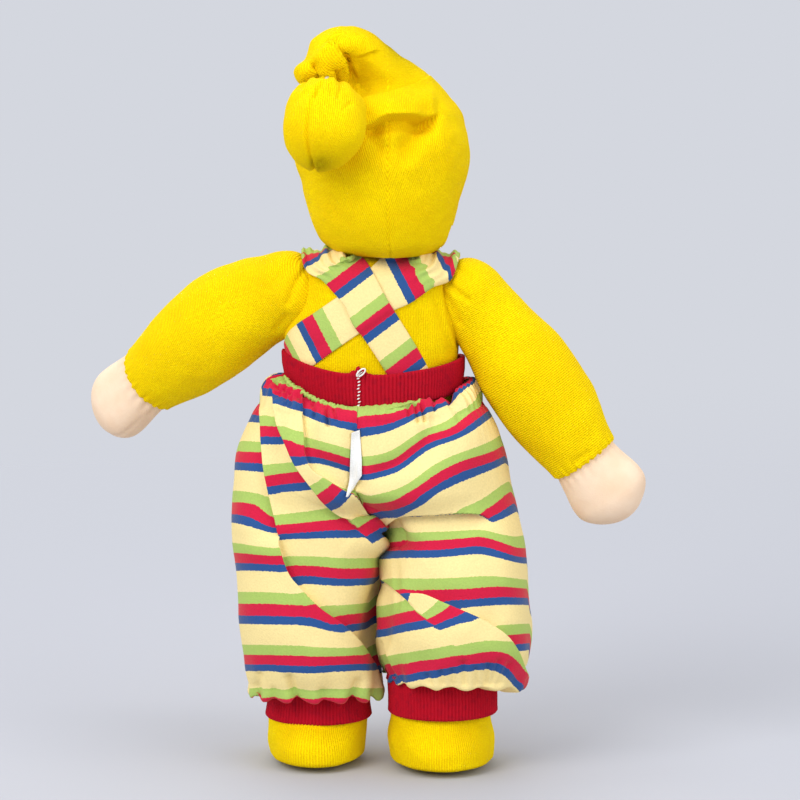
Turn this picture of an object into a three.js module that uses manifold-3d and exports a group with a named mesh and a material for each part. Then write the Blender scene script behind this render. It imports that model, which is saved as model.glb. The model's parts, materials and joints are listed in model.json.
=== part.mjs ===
// A soft cloth doll in a hooded terry suit and striped jersey dungarees.
// Millimetres, +Z up. The doll faces -Y, and its left hand points to +X.
import * as THREE from 'three';
import { mergeVertices } from 'three/addons/utils/BufferGeometryUtils.js';
import Module from 'manifold-3d';

const wasm = await Module();
wasm.setup();

// Cloth and clearances
const terryWall = 1.6;
const tricotWall = 1.2;
const jerseyWall = 1.6;
const strapCloth = 1.5;
const ribCloth = 2.0;
const seatGap = 0.8; // between a stuffed ball and the dish that it turns in
const touchGap = 0.3; // between two pieces that lie against each other
const wearGap = 0.5; // between a worn piece and what it is worn over
const stuffingGap = 0.4; // between a cover and its wool

// Where the middle of the doll's own box lies from its midline
const originX = 7.6;
const originY = -2.6;

// Body
const crotchHeight = 126;
const shoulderTop = 248.5;
const chestHalfWidth = 33.5;
const chestHalfDepth = 27;
const waistHeight = 186;
const waistHalfWidth = 38.5;
const waistHalfDepth = 28;
const hipHalfWidth = 40;
const hipHalfDepth = 24;

// Arms
const shoulderSpread = 43;
const shoulderHeight = 229;
const shoulderBall = 18;
const upperArmRadius = 22.5;
const wristRadius = 15.8;
const palmHalfWidth = 19;
const palmHalfDepth = 15;
const sleeveLength = 97.5;
const armLength = 132;
const shoulderWoolBall = 9;
const shoulderWoolNeck = 4.4;
const shoulderWoolGap = 0.9;
const armLowest = 55; // the steepest angle between an arm and a line through both shoulders, in degrees
const leftArmAim = [0.719, -0.452, -0.529];
const rightArmAim = [-0.577, 0.046, -0.815];

// Legs
const hipSpread = 24;
const hipHeight = 133;
const hipBall = 20;
const hipStraight = 8; // how far below its middle the hip keeps its full width
const ankleSpread = 29.5;
const ankleHeight = 40;
const ankleRadius = 22;
const footHalfWidth = 24.5;
const footHalfLength = 31;
const toeReach = 10;
const footHeight = 30;
const soleRound = 5;
const soleFlat = 0.5; // how deep the soles are cut flat
const leftStride = -7;
const rightStride = 8;
const leftCuffLow = 23.5;
const rightCuffLow = 29.5;
const cuffHeight = 16;
const fillingHole = 6;
const holeExtra = 5; // how far a hole's cutter reaches through the cover
const kneeHeight = 85;
const legSteps = [-15, 0, 27, 54, 80]; // how far forward the thighs swing, in degrees
const thighReach = 60;

// Neck and head
const headX = -3;
const neckRadius = 11.5;
const neckBase = 238;
const neckSinkage = 0.5;
const nodHeight = 257;
const nodBall = 12.5;
const tieThread = 0.5;
const chinHeight = 249.5;
const crownHeight = 331.5;
const headHalfWidth = 37.5;
const headHalfDepth = 39;
const headMiddle = 294;
const headChinRise = 12;
const headCheekDrop = 16;
const headBrowRise = 14;
const nodOpening = 21;

// Face
const eyeSpread = 11;
const eyeDrop = 3; // how far below the head's middle the eyes lie
const eyeRadius = 1.8;
const mouthDrop = 18;
const mouthHalfWidth = 4;
const faceThread = 0.5;
const eyeHeight = headMiddle - eyeDrop;
const mouthHeight = headMiddle - mouthDrop;

// Hood, its flopped peak and the tied bobble
const hemHeight = 249.9;
const faceHalfWidth = 29;
const faceHalfHeight = 31;
const faceMiddle = 284;
const faceSide = -10; // the face opening cuts the hood in front of this Y
const peakTop = 357;
const tiePoint = [24, 27, 333];
const tieNeckRadius = 6;
const tieAlong = 0.9; // how far along the peak its thread is wound, as a share of the peak
const tieSlack = 1;
const bobbleMiddle = [25.5, 43.5, 315.5];
const bobbleHalfWidth = 19;
const bobbleHalfLength = 21;
const bobbleStalk = 3.2;
const bobbleStalkWall = 1.2;
const stalkOverlap = 3; // how far the stalk reaches into the ball
const throatReach = 12;
const bobbleKnot = 4.6;
const knotGap = 0.8;
const bobbleSwingGap = 2;

// Dungarees
const waistbandLow = 178;
const waistbandHigh = 194;
const seatHalfWidth = 60;
const seatHalfDepth = 41;
const trouserRadius = 35.5;
const trouserHalfDepth = 34;
const trouserCrotch = 120;
const trouserTop = 165; // where each trouser leg has run into the seat
const blouseRise = 6; // the trousers blouse out this far above each cuff
const calfRise = 30;
const thighDrop = 8;
const seatRise = 20;
const fullSeatDrop = 40; // how far below the waistband the seat is at its widest
const upperSeatDrop = 22;
const seatShoulderDrop = 8;
const seatTopRise = 12;
const centreGap = 0.3;
const waistLean = 3;
const hemLean = -2;
const gathersAtWaist = 26;
const gathersAtCuff = 11;
const gatherDepth = 1.3;
const gatherLength = 12;
const hollowHeight = 158; // the middle of the hollow beside the seat's seam
const hollowLength = 18;
const hollowDepth = 2.5;
const slantHeight = 73; // the middle of the slanted fold behind each knee
const slantLength = 26;
const slantDepth = 2.6;
const lapHeight = 116; // the fold under the seat
const lapWidth = 5;
const lapDepth = 2;
const strapWidth = 21;
const strapFrontX = 22;
const strapTuckDepth = 9; // how far the straps' ends reach down behind the waistband
const strapTuck = waistbandHigh - strapTuckDepth;
const backSeamX = 9;
const stitchCount = 11;
const stitchPitch = 1.5;
const stitchLength = 3.2;
const stitchThread = 0.5;
const threadLoopRadius = 2.4;
const labelWidth = 6;
const labelLength = 31;
const labelCloth = 0.6;
const labelTop = 168;
const labelSag = 1; // how far the flat faces of the seat lie inside its true curve

// Colours as they look in daylight
const yellowTerry = { color: 0xffde00, roughness: 0.95, metalness: 0 };
const peachTricot = { color: 0xf3d9bb, roughness: 0.8, metalness: 0 };
const woolStuffing = { color: 0xf4efe2, roughness: 1, metalness: 0 };
const creamJersey = { color: 0xf1dfa0, roughness: 0.85, metalness: 0 };
const redRib = { color: 0xc4002b, roughness: 0.85, metalness: 0 };
const whiteThread = { color: 0xf4f4f0, roughness: 0.6, metalness: 0 };
const brownThread = { color: 0x5a3b2a, roughness: 0.6, metalness: 0 };
const roseThread = { color: 0xc8505a, roughness: 0.6, metalness: 0 };

// Points across a form and rings along it
const bodySegments = 20;
const bodyRings = 9;
const limbSegments = 14;
const limbRings = 8;
const clothSegments = 30;
const clothRings = 8;
const hornRings = 8;
const dishSegments = 18;
const smallSegments = 12;
const faceSegments = 24;
const roughSegments = 10;
const woolCoarseness = 2; // wool has every second point round its form
const roughness = 2.8; // how far a round of few points may lie from a true one
const farAway = 500;

/** A closed three.js geometry as a solid. */
function solid(geometry, matrix) {
  const g = geometry.clone();
  g.deleteAttribute('normal');
  g.deleteAttribute('uv');
  if (matrix) g.applyMatrix4(matrix);
  const merged = mergeVertices(g, 1e-4);
  const index = merged.index.array;
  const triangles = [];
  for (let i = 0; i < index.length; i += 3) {
    const [a, b, c] = [index[i], index[i + 1], index[i + 2]];
    if (a !== b && b !== c && c !== a) triangles.push(a, b, c);
  }
  return new wasm.Manifold(new wasm.Mesh({
    numProp: 3,
    vertProperties: new Float32Array(merged.attributes.position.array),
    triVerts: new Uint32Array(triangles),
  }));
}

/** A named mesh of a solid, in its own finish. */
function piece(name, body, finish) {
  const { vertProperties, triVerts } = body.getMesh();
  const geometry = new THREE.BufferGeometry();
  geometry.setAttribute('position', new THREE.BufferAttribute(new Float32Array(vertProperties), 3));
  geometry.setIndex(new THREE.BufferAttribute(new Uint32Array(triVerts), 1));
  geometry.computeVertexNormals();
  const mesh = new THREE.Mesh(geometry, new THREE.MeshStandardMaterial(finish));
  mesh.name = name;
  return mesh;
}

/** The sizes at height s, on a smooth curve through a form's rows: each row is a height and its sizes. */
function rowAt(rows, s) {
  const last = rows.length - 1;
  if (s <= rows[0][0]) return rows[0].slice(1);
  if (s >= rows[last][0]) return rows[last].slice(1);
  const i = rows.findIndex((row) => row[0] > s) - 1;
  const slope = (n, k) => {
    const [before, after] = [rows[Math.max(n - 1, 0)], rows[Math.min(n + 1, last)]];
    return (after[k] - before[k]) / (after[0] - before[0]);
  };
  const span = rows[i + 1][0] - rows[i][0];
  const t = (s - rows[i][0]) / span;
  return rows[i].slice(1).map((value, n) => {
    const k = n + 1;
    const next = rows[i + 1][k];
    return value * (2 * t ** 3 - 3 * t ** 2 + 1) + next * (3 * t ** 2 - 2 * t ** 3)
      + span * (slope(i, k) * (t ** 3 - 2 * t ** 2 + t) + slope(i + 1, k) * (t ** 3 - t ** 2));
  });
}

/** How far a form is closed at a height by its round ends, from 0 at their tips to 1 between them. */
function closing({ low, high, lowRound, highRound, lowPower = 2 }, z, grow = 0) {
  const rim = (depth, reach, power) => (
    depth >= reach ? 1 : (1 - (1 - Math.max(depth, 0) / reach) ** power) ** (1 / power));
  return rim(z - low + grow, lowRound + grow, lowPower) * rim(high + grow - z, highRound + grow, 2);
}

/**
 * A stuffed form along Z, with round ends. Its rows are [z, half width, half depth, middle x, middle y],
 * and grow moves its whole surface out. fold(angle, z) lifts or sinks a place of its surface. A form with a
 * sole has one more ring, that far above its lowest point.
 */
function stuffed(form, grow = 0, coarseness = 1) {
  const { rows, low, high, segments = limbSegments, rings = limbRings, fold, sole } = form;
  const [bottom, top] = [low - grow, high + grow];
  const spread = sole ? rings - 1 : rings;
  const level = (ring) => {
    if (sole && ring === 1) return bottom + sole;
    const step = sole ? Math.max(ring - 1, 0) : ring;
    return bottom + (top - bottom) * (1 - Math.cos(Math.PI * step / spread)) / 2;
  };
  const profile = [];
  for (let i = 0; i <= rings; i++) {
    profile.push(new THREE.Vector2(i === 0 || i === rings ? 0 : 1, i));
  }
  const geometry = new THREE.LatheGeometry(profile, segments / coarseness);
  const place = geometry.attributes.position;
  for (let n = 0; n < place.count; n++) {
    const z = level(Math.round(place.getY(n)));
    const [width, depth, x = 0, y = 0] = rowAt(rows, z);
    const round = closing(form, z, grow);
    const angle = Math.atan2(place.getZ(n), place.getX(n));
    const lift = fold ? fold(angle, z) : 0;
    const out = Math.hypot(place.getX(n), place.getZ(n)) * round;
    place.setXYZ(n,
      x + Math.cos(angle) * out * (width + grow + lift),
      y - Math.sin(angle) * out * (depth + grow + lift),
      z);
  }
  return solid(geometry);
}

const moved = (x, y, z) => new THREE.Matrix4().makeTranslation(x, y, z);
const ball = (radius, x, y, z, segments = limbSegments) => (
  solid(new THREE.SphereGeometry(radius, segments, Math.round(segments / 2)), moved(x, y, z)));
const block = (from, to) => solid(
  new THREE.BoxGeometry(to[0] - from[0], to[1] - from[1], to[2] - from[2]),
  moved((from[0] + to[0]) / 2, (from[1] + to[1]) / 2, (from[2] + to[2]) / 2));
const slab = (low, high) => block([-farAway, -farAway, low], [farAway, farAway, high]);

/** The turn that takes +Z to a direction. */
const aimed = (direction) => new THREE.Matrix4().makeRotationFromQuaternion(
  new THREE.Quaternion().setFromUnitVectors(new THREE.Vector3(0, 0, 1),
    new THREE.Vector3(...direction).normalize()));

/** A round pin between two points. */
function pin(radius, from, to, segments = limbSegments) {
  const [start, end] = [new THREE.Vector3(...from), new THREE.Vector3(...to)];
  const along = end.clone().sub(start);
  const middle = start.clone().add(end).multiplyScalar(0.5);
  const turn = moved(...middle.toArray())
    .multiply(aimed(along.toArray()))
    .multiply(new THREE.Matrix4().makeRotationX(Math.PI / 2));
  return solid(new THREE.CylinderGeometry(radius, radius, along.length(), segments), turn);
}

/** The row values that a form and what is worn over it share. */
const torsoForm = {
  rows: [
    [crotchHeight, hipHalfWidth - 6, hipHalfDepth - 4],
    [(crotchHeight + waistHeight) / 2 - 4, hipHalfWidth, hipHalfDepth],
    [waistHeight, waistHalfWidth, waistHalfDepth],
    [shoulderHeight - shoulderBall - 5, chestHalfWidth, chestHalfDepth + 1],
    [shoulderHeight, chestHalfWidth + 2, chestHalfDepth],
    [shoulderTop, chestHalfWidth + 1, chestHalfDepth - 5],
  ],
  low: crotchHeight,
  high: shoulderTop,
  lowRound: 14,
  highRound: 12,
  segments: bodySegments,
  rings: bodyRings,
};

const armForm = {
  rows: [
    [-shoulderBall, shoulderBall, shoulderBall],
    [0, shoulderBall, shoulderBall],
    [sleeveLength * 0.2, shoulderBall + 1, shoulderBall + 1],
    [sleeveLength * 0.48, upperArmRadius, upperArmRadius - 1],
    [sleeveLength * 0.75, upperArmRadius - 1, upperArmRadius - 2],
    [sleeveLength, wristRadius, wristRadius - 1],
    [sleeveLength + 6, wristRadius + 0.5, wristRadius - 2],
    [(sleeveLength + armLength) / 2 - 1, palmHalfWidth, palmHalfDepth],
    [armLength, palmHalfWidth - 2, palmHalfDepth - 1],
  ],
  low: -shoulderBall,
  high: armLength,
  lowRound: shoulderBall,
  highRound: palmHalfDepth,
  rings: limbRings + 2,
};

/** A leg with its foot, on the side of X that side gives. */
function legForm(side, stride) {
  const slope = (z) => (hipHeight - z) / hipHeight;
  const x = (z) => side * (hipSpread + (ankleSpread - hipSpread) * Math.min(slope(z) * 1.35, 1));
  const y = (z) => stride * slope(z);
  return {
    rows: [
      [0, footHalfWidth - 1, footHalfLength, x(0), y(0) - toeReach],
      [footHeight * 0.4, footHalfWidth, footHalfLength, x(0), y(0) - toeReach],
      [footHeight * 0.75, footHalfWidth - 0.5, footHalfLength * 0.84, x(0), y(0) - toeReach * 0.5],
      [ankleHeight, ankleRadius, ankleRadius - 1, x(ankleHeight), y(ankleHeight)],
      [kneeHeight, hipBall + 1, hipBall, x(kneeHeight), y(kneeHeight)],
      [hipHeight - hipStraight, hipBall, hipBall, side * hipSpread, 0],
      [hipHeight, hipBall, hipBall, side * hipSpread, 0],
      [hipHeight + hipBall, hipBall, hipBall, side * hipSpread, 0],
    ],
    low: -soleFlat,
    high: hipHeight + hipBall,
    lowRound: soleRound,
    lowPower: 3,
    highRound: hipBall,
    rings: limbRings + 4,
    sole: soleFlat * 0.8,
  };
}

const headForm = {
  rows: [
    [chinHeight, headHalfWidth - 12, headHalfDepth - 13, headX],
    [chinHeight + headChinRise, headHalfWidth - 6, headHalfDepth - 6, headX],
    [headMiddle - headCheekDrop, headHalfWidth - 1.5, headHalfDepth - 1.5, headX],
    [headMiddle, headHalfWidth, headHalfDepth, headX],
    [headMiddle + headBrowRise, headHalfWidth - 0.5, headHalfDepth - 0.5, headX],
    [crownHeight, headHalfWidth - 8, headHalfDepth - 8, headX],
  ],
  low: chinHeight,
  high: crownHeight,
  lowRound: 8,
  highRound: 26,
  segments: bodySegments,
  rings: bodyRings,
};

const trouserLean = (z) => hemLean + (waistLean - hemLean) * z / waistbandLow;
const bump = (distance, width) => Math.exp(-((distance / width) ** 2));

/** The gathers under the waistband and the shallow hollows that the seat hangs in. */
function seatFold(angle, z) {
  const gathered = bump(waistbandLow - z, gatherLength) * Math.cos(gathersAtWaist * angle / 2);
  const hollow = bump(angle + Math.PI / 2 + 0.25, 0.3) * bump(z - hollowHeight, hollowLength);
  return gatherDepth * gathered - hollowDepth * hollow;
}

/** The gathers over a cuff and the slanted folds that a trouser leg hangs in, seen from behind. */
function legFold(side, cuffTop) {
  return (angle, z) => {
    const gathered = bump(z - cuffTop, gatherLength) * Math.cos(gathersAtCuff * angle);
    const behind = angle + Math.PI / 2;
    const above = (z - slantHeight) / slantLength;
    const slanted = bump(behind - side * above * 0.57, 0.22) * bump(above, 1);
    const underSeat = bump((z - lapHeight) / lapWidth - behind * side * 1.2, 1) * bump(behind, 0.9);
    return gatherDepth * gathered - slantDepth * slanted - lapDepth * underSeat;
  };
}

const seatForm = {
  rows: [
    [trouserCrotch, seatHalfWidth + 4, seatHalfDepth - 5, trouserLean(trouserCrotch)],
    [waistbandLow - fullSeatDrop, seatHalfWidth + 4, seatHalfDepth - 1,
      trouserLean(waistbandLow - fullSeatDrop)],
    [waistbandLow - upperSeatDrop, seatHalfWidth + 1, seatHalfDepth,
      trouserLean(waistbandLow - upperSeatDrop)],
    [waistbandLow - seatShoulderDrop, seatHalfWidth - 4, seatHalfDepth - 2,
      trouserLean(waistbandLow - seatShoulderDrop)],
    [waistbandLow - touchGap, waistHalfWidth + strapCloth + ribCloth + 2 * wearGap,
      waistHalfDepth + strapCloth + ribCloth + 2 * wearGap + 1, 1],
    [waistbandLow + seatTopRise, waistHalfWidth + 4, waistHalfDepth + 4, 1],
  ],
  low: trouserCrotch,
  high: waistbandLow + seatTopRise,
  lowRound: 9,
  highRound: 2,
  segments: clothSegments + 6,
  rings: clothRings,
  fold: seatFold,
};

function trouserForm(side, stride, cuffTop) {
  const y = (z) => stride * (hipHeight - z) / hipHeight;
  const width = (z) => trouserRadius + side * trouserLean(z) / 2;
  const x = (z) => side * (width(z) + gatherDepth);
  const ankleX = side * ankleSpread;
  const hem = ankleRadius + wearGap + ribCloth + gatherDepth;
  const [blouse, calf] = [cuffTop + blouseRise, cuffTop + calfRise];
  const [thigh, seat] = [trouserCrotch - thighDrop, trouserCrotch + seatRise];
  return {
    rows: [
      [cuffTop - 2, hem, hem, ankleX, y(cuffTop)],
      [cuffTop + touchGap, hem, hem, ankleX, y(cuffTop)],
      [blouse, width(blouse) - 2.5, trouserHalfDepth - 3, x(blouse) - side, y(blouse)],
      [calf, width(calf), trouserHalfDepth, x(calf), y(calf)],
      [thigh, width(thigh), trouserHalfDepth, x(thigh), y(thigh)],
      [seat, width(seat) - 3, trouserHalfDepth, x(seat) - side * 3, 0],
      [trouserTop, width(trouserTop) - 12, trouserHalfDepth - 4, x(trouserTop) - side * 8, 0],
    ],
    low: cuffTop - 8,
    high: trouserTop,
    lowRound: 1,
    highRound: 14,
    segments: clothSegments,
    rings: clothRings + 1,
    fold: legFold(side, cuffTop),
  };
}

/** Everything that one arm's place gives, for the left side (1) or the right (-1). */
function armOf(side, name, aim) {
  const joint = [side * shoulderSpread, 0, shoulderHeight];
  const pose = moved(...joint).multiply(aimed(aim));
  const at = (body) => body.transform(pose.toArray());
  const woolGap = terryWall + stuffingGap;
  const towardsBody = (length) => [joint[0] - side * length, joint[1], joint[2]];
  const cover = stuffed(armForm).subtract(stuffed(armForm, -terryWall));
  const rootEnd = towardsBody(shoulderBall + holeExtra);
  const rootHole = pin(shoulderWoolNeck + shoulderWoolGap, joint, rootEnd, smallSegments);
  const shoulderDish = ball(shoulderWoolBall + shoulderWoolGap, ...joint, smallSegments);
  return {
    room: at(stuffed(armForm, seatGap)),
    sleeve: piece(`${name}_sleeve`,
      at(cover.intersect(slab(-farAway, sleeveLength))).subtract(rootHole), yellowTerry),
    hand: piece(`${name}_hand`,
      at(cover.intersect(slab(sleeveLength + touchGap, farAway))), peachTricot),
    armWool: piece(`${name}_arm_wool`,
      at(stuffed(armForm, -woolGap, woolCoarseness)).subtract(shoulderDish).subtract(rootHole),
      woolStuffing),
    shoulderWool: piece(`${name}_shoulder_wool`,
      ball(shoulderWoolBall, ...joint, smallSegments).add(
        pin(shoulderWoolNeck, joint, towardsBody(shoulderBall - terryWall), smallSegments)), woolStuffing),
  };
}

/** A leg's cover and wool, with the cuff and the garment half that it wears. */
function legOf(side, name, stride, cuffLow) {
  const form = legForm(side, stride);
  const cuffTop = cuffLow + cuffHeight;
  const outside = stuffed(form).intersect(slab(0, farAway));
  const hip = [side * hipSpread, 0, hipHeight];
  const hole = pin(fillingHole, hip, [side * hipSpread, 0, hipHeight + hipBall + holeExtra], smallSegments);
  const cuff = stuffed(form, wearGap + ribCloth).subtract(stuffed(form, wearGap))
    .intersect(slab(cuffLow, cuffTop));
  return {
    skin: piece(`${name}_leg_skin`, outside.subtract(stuffed(form, -terryWall)).subtract(hole),
      yellowTerry),
    wool: piece(`${name}_leg_wool`, stuffed(form, -terryWall - stuffingGap, woolCoarseness),
      woolStuffing),
    cuff: piece(`${name}_cuff`, cuff, redRib),
    trouser: trouserForm(side, stride, cuffTop),
    cuffTop,
  };
}

/** The room that the thighs sweep through as they swing, grown by a clearance. */
const thighRoom = (grow, segments) => [1, -1].flatMap((side) => legSteps.map((degrees) => {
  const swing = THREE.MathUtils.degToRad(degrees);
  const hip = [side * hipSpread, 0, hipHeight];
  const knee = [side * (hipSpread + 2), -Math.sin(swing) * thighReach,
    hipHeight - Math.cos(swing) * thighReach];
  return pin(hipBall + 1 + grow, hip, knee, segments);
})).reduce((all, thigh) => all.add(thigh));

/** What the shoulder and hip balls take away from the body, grown by a clearance. */
const dishes = (grow, segments = dishSegments) => [1, -1].reduce((all, side) => all
  .add(ball(shoulderBall + grow, side * shoulderSpread, 0, shoulderHeight, segments))
  .add(ball(hipBall + grow, side * hipSpread, 0, hipHeight, segments)),
thighRoom(grow, roughSegments).add(armRoom(grow, segments)));

/**
 * The room below each shoulder that an arm sweeps through as it swings at its lowest, grown by a clearance.
 * It is turned about the line through both shoulders, from the underside of the arm's rows.
 */
function armRoom(grow, segments = dishSegments) {
  const steep = THREE.MathUtils.degToRad(armLowest);
  const sleeveRows = armForm.rows.filter(([t]) => t >= 0 && t < sleeveLength);
  const under = sleeveRows.map(([t, radius]) => new THREE.Vector2(
    t * Math.sin(steep) + (radius + grow) * Math.cos(steep),
    t * Math.cos(steep) - (radius + grow) * Math.sin(steep)));
  const [first, last] = [under[0], under[under.length - 1]];
  const profile = [new THREE.Vector2(0, first.y), ...under,
    new THREE.Vector2(last.x, armLength), new THREE.Vector2(0, armLength)];
  return [1, -1].map((side) => solid(new THREE.LatheGeometry(profile, segments),
    moved(side * shoulderSpread, 0, shoulderHeight)
      .multiply(new THREE.Matrix4().makeRotationZ(-side * Math.PI / 2)))
    .intersect(slab(-farAway, shoulderHeight))).reduce((all, room) => all.add(room));
}

const neckHole = (clearance) => pin(neckRadius + clearance,
  [headX, 0, neckBase - neckSinkage], [headX, 0, farAway]);

function torso() {
  const inner = stuffed(torsoForm, -terryWall).subtract(dishes(seatGap + terryWall));
  const woolBody = stuffed(torsoForm, -terryWall - stuffingGap, woolCoarseness)
    .subtract(dishes(seatGap + terryWall + stuffingGap + roughness, roughSegments))
    .subtract(neckHole(seatGap + terryWall));
  return [
    piece('torso_skin', stuffed(torsoForm).subtract(dishes(seatGap)).subtract(inner)
      .subtract(neckHole(seatGap)), yellowTerry),
    piece('torso_wool', woolBody, woolStuffing),
  ];
}

/** The neck with a ball on top for the head to nod on, and the thread wound round it. */
function neck() {
  const tieHeight = shoulderTop + tieThread + 1.2;
  const stalk = pin(neckRadius, [headX, 0, neckBase], [headX, 0, nodHeight]);
  const ring = new THREE.TorusGeometry(neckRadius + touchGap + tieThread, tieThread, 5, limbSegments);
  return [
    piece('neck', stalk.add(ball(nodBall, headX, 0, nodHeight)), peachTricot),
    piece('neck_tie', solid(ring, moved(headX, 0, tieHeight)), whiteThread),
  ];
}

/** The room that the neck needs inside the head while the head nods. */
const neckRoom = (gap) => ball(nodBall + gap, headX, 0, nodHeight)
  .add(solid(new THREE.CylinderGeometry(neckRadius + gap, nodOpening - 4 + gap, 14, limbSegments),
    moved(headX, 0, nodHeight - 7).multiply(new THREE.Matrix4().makeRotationX(Math.PI / 2))));

/** A peg along Y that stands just off the head's skin, in front. */
function onFace(shape, x, z) {
  const [width, depth] = rowAt(headForm.rows, z).map((size) => size * closing(headForm, z));
  const skin = -depth * Math.sqrt(1 - (x / width) ** 2);
  return solid(shape, moved(headX + x, skin - touchGap, z));
}

function headPieces() {
  const inner = stuffed(headForm, -tricotWall).subtract(neckRoom(seatGap + tricotWall));
  const hole = pin(fillingHole, [headX, 0, nodHeight], [headX, 0, nodHeight + nodBall + holeExtra],
    smallSegments);
  const skin = stuffed(headForm).subtract(inner).subtract(neckRoom(seatGap)).subtract(hole);
  const wool = stuffed(headForm, -tricotWall - stuffingGap, woolCoarseness)
    .subtract(neckRoom(seatGap + tricotWall + stuffingGap));
  const disc = new THREE.CylinderGeometry(eyeRadius, eyeRadius, faceThread, smallSegments)
    .translate(0, -faceThread, 0);
  const smile = new THREE.CatmullRomCurve3([
    new THREE.Vector3(-mouthHalfWidth, -faceThread * 1.6, 1),
    new THREE.Vector3(0, -faceThread * 1.6, 0),
    new THREE.Vector3(mouthHalfWidth, -faceThread * 1.6, 1),
  ]);
  const thread = new THREE.Shape().absarc(0, 0, faceThread, 0, Math.PI * 2);
  const mouth = new THREE.ExtrudeGeometry(thread, { steps: 5, curveSegments: 5, extrudePath: smile });
  return [
    piece('head_skin', skin, peachTricot),
    piece('head_wool', wool, woolStuffing),
    piece('left_eye', onFace(disc, eyeSpread, eyeHeight), brownThread),
    piece('right_eye', onFace(disc, -eyeSpread, eyeHeight), brownThread),
    piece('mouth', onFace(mouth, 0, mouthHeight), roseThread),
  ];
}

/** The middle, the direction and the radius of a tapering horn, at a share u of its length. */
function hornAt(points, radii, u) {
  const path = new THREE.CatmullRomCurve3(points.map((p) => new THREE.Vector3(...p)));
  const rows = radii.map((radius, n) => [n / (radii.length - 1), radius]);
  return { spot: path.getPoint(u), along: path.getTangent(u), radius: rowAt(rows, u)[0], path };
}

/** A tapering horn of cloth along a curve. */
function horn(points, radii) {
  const frames = hornAt(points, radii, 0).path.computeFrenetFrames(hornRings);
  const profile = [new THREE.Vector2(0, 0)];
  for (let i = 0; i <= hornRings; i++) profile.push(new THREE.Vector2(1, i));
  profile.push(new THREE.Vector2(0, hornRings));
  const geometry = new THREE.LatheGeometry(profile, limbSegments);
  const place = geometry.attributes.position;
  for (let n = 0; n < place.count; n++) {
    const ring = Math.round(place.getY(n));
    const { spot, radius } = hornAt(points, radii, ring / hornRings);
    spot.addScaledVector(frames.binormals[ring], place.getX(n) * radius);
    spot.addScaledVector(frames.normals[ring], place.getZ(n) * radius);
    place.setXYZ(n, spot.x, spot.y, spot.z);
  }
  return solid(geometry);
}

const hoodGrow = wearGap + terryWall;
const peakPath = [
  [headX - 3, 0, crownHeight - 22],
  [headX + 2, 0, crownHeight - 8],
  [headX + 10, 3, peakTop - 20],
  [headX + 19, 7, peakTop - 15],
  [headX + 27, 17, peakTop - 18],
  tiePoint,
];
const peakRadii = [30, 27, 20, 15, 11, tieNeckRadius];

/** The hood over the head, with its peak drawn out, flopped over and tied. */
function hood() {
  const face = new THREE.Shape().absellipse(headX, faceMiddle, faceHalfWidth, faceHalfHeight, 0, Math.PI * 2);
  const cut = { depth: farAway, bevelEnabled: false, curveSegments: faceSegments };
  const opening = new THREE.ExtrudeGeometry(face, cut);
  const forward = new THREE.Matrix4().makeRotationX(Math.PI / 2);
  return piece('hood', stuffed(headForm, hoodGrow)
    .add(horn(peakPath, peakRadii))
    .subtract(stuffed(headForm, wearGap))
    .subtract(solid(opening, moved(0, faceSide, 0).multiply(forward)))
    .subtract(pin(nodOpening, [headX, 0, neckBase], [headX, 0, nodHeight + nodBall / 2]))
    .subtract(ball(bobbleKnot + knotGap, ...tiePoint))
    .intersect(slab(hemHeight, farAway)), yellowTerry);
}

const bobbleForm = {
  rows: [
    [0, bobbleHalfWidth, bobbleHalfWidth],
    [bobbleHalfLength, bobbleHalfWidth, bobbleHalfWidth],
  ],
  low: -bobbleHalfLength,
  high: bobbleHalfLength,
  lowRound: bobbleHalfLength,
  highRound: bobbleHalfLength,
};

/** The stuffed bobble, drawn from the peak's end and hung by its tie. */
function bobble() {
  const [middle, tie] = [new THREE.Vector3(...bobbleMiddle), new THREE.Vector3(...tiePoint)];
  const along = tie.clone().sub(middle).normalize();
  const place = moved(...bobbleMiddle).multiply(aimed(along.toArray())).toArray();
  const form = (grow) => stuffed(bobbleForm, grow).transform(place);
  const on = (distance) => middle.clone().addScaledVector(along, distance).toArray();
  const stalk = pin(bobbleStalk, on(bobbleHalfLength - stalkOverlap), tie.toArray(), smallSegments);
  const wound = hornAt(peakPath, peakRadii, tieAlong);
  const ringPlace = moved(...wound.spot.toArray()).multiply(aimed(wound.along.toArray()));
  const ringRadius = wound.radius + tieSlack + touchGap + tieThread;
  const ring = new THREE.TorusGeometry(ringRadius, tieThread, 5, limbSegments);
  const headRoom = ball(headHalfDepth + hoodGrow + bobbleSwingGap, headX, 0, headMiddle + 1,
    bodySegments);
  const knot = ball(bobbleKnot, ...tiePoint, smallSegments);
  const throat = pin(bobbleStalk - bobbleStalkWall, on(bobbleHalfLength - 2 * stalkOverlap),
    on(bobbleHalfLength + throatReach), smallSegments);
  return [
    piece('bobble', form(0).add(stalk).add(knot).subtract(form(-terryWall)).subtract(throat)
      .subtract(headRoom), yellowTerry),
    piece('bobble_wool', form(-terryWall - stuffingGap).subtract(headRoom), woolStuffing),
    piece('bobble_tie', solid(ring, ringPlace), whiteThread),
  ];
}

/** The cloth left between two offsets of the body and its shoulder balls. */
function overBody(inner, outer) {
  const grown = (grow) => [1, -1].reduce((form, side) => (
    form.add(ball(shoulderBall + seatGap + grow, side * shoulderSpread, 0, shoulderHeight))),
  stuffed(torsoForm, grow));
  return grown(outer).subtract(grown(inner));
}

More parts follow.
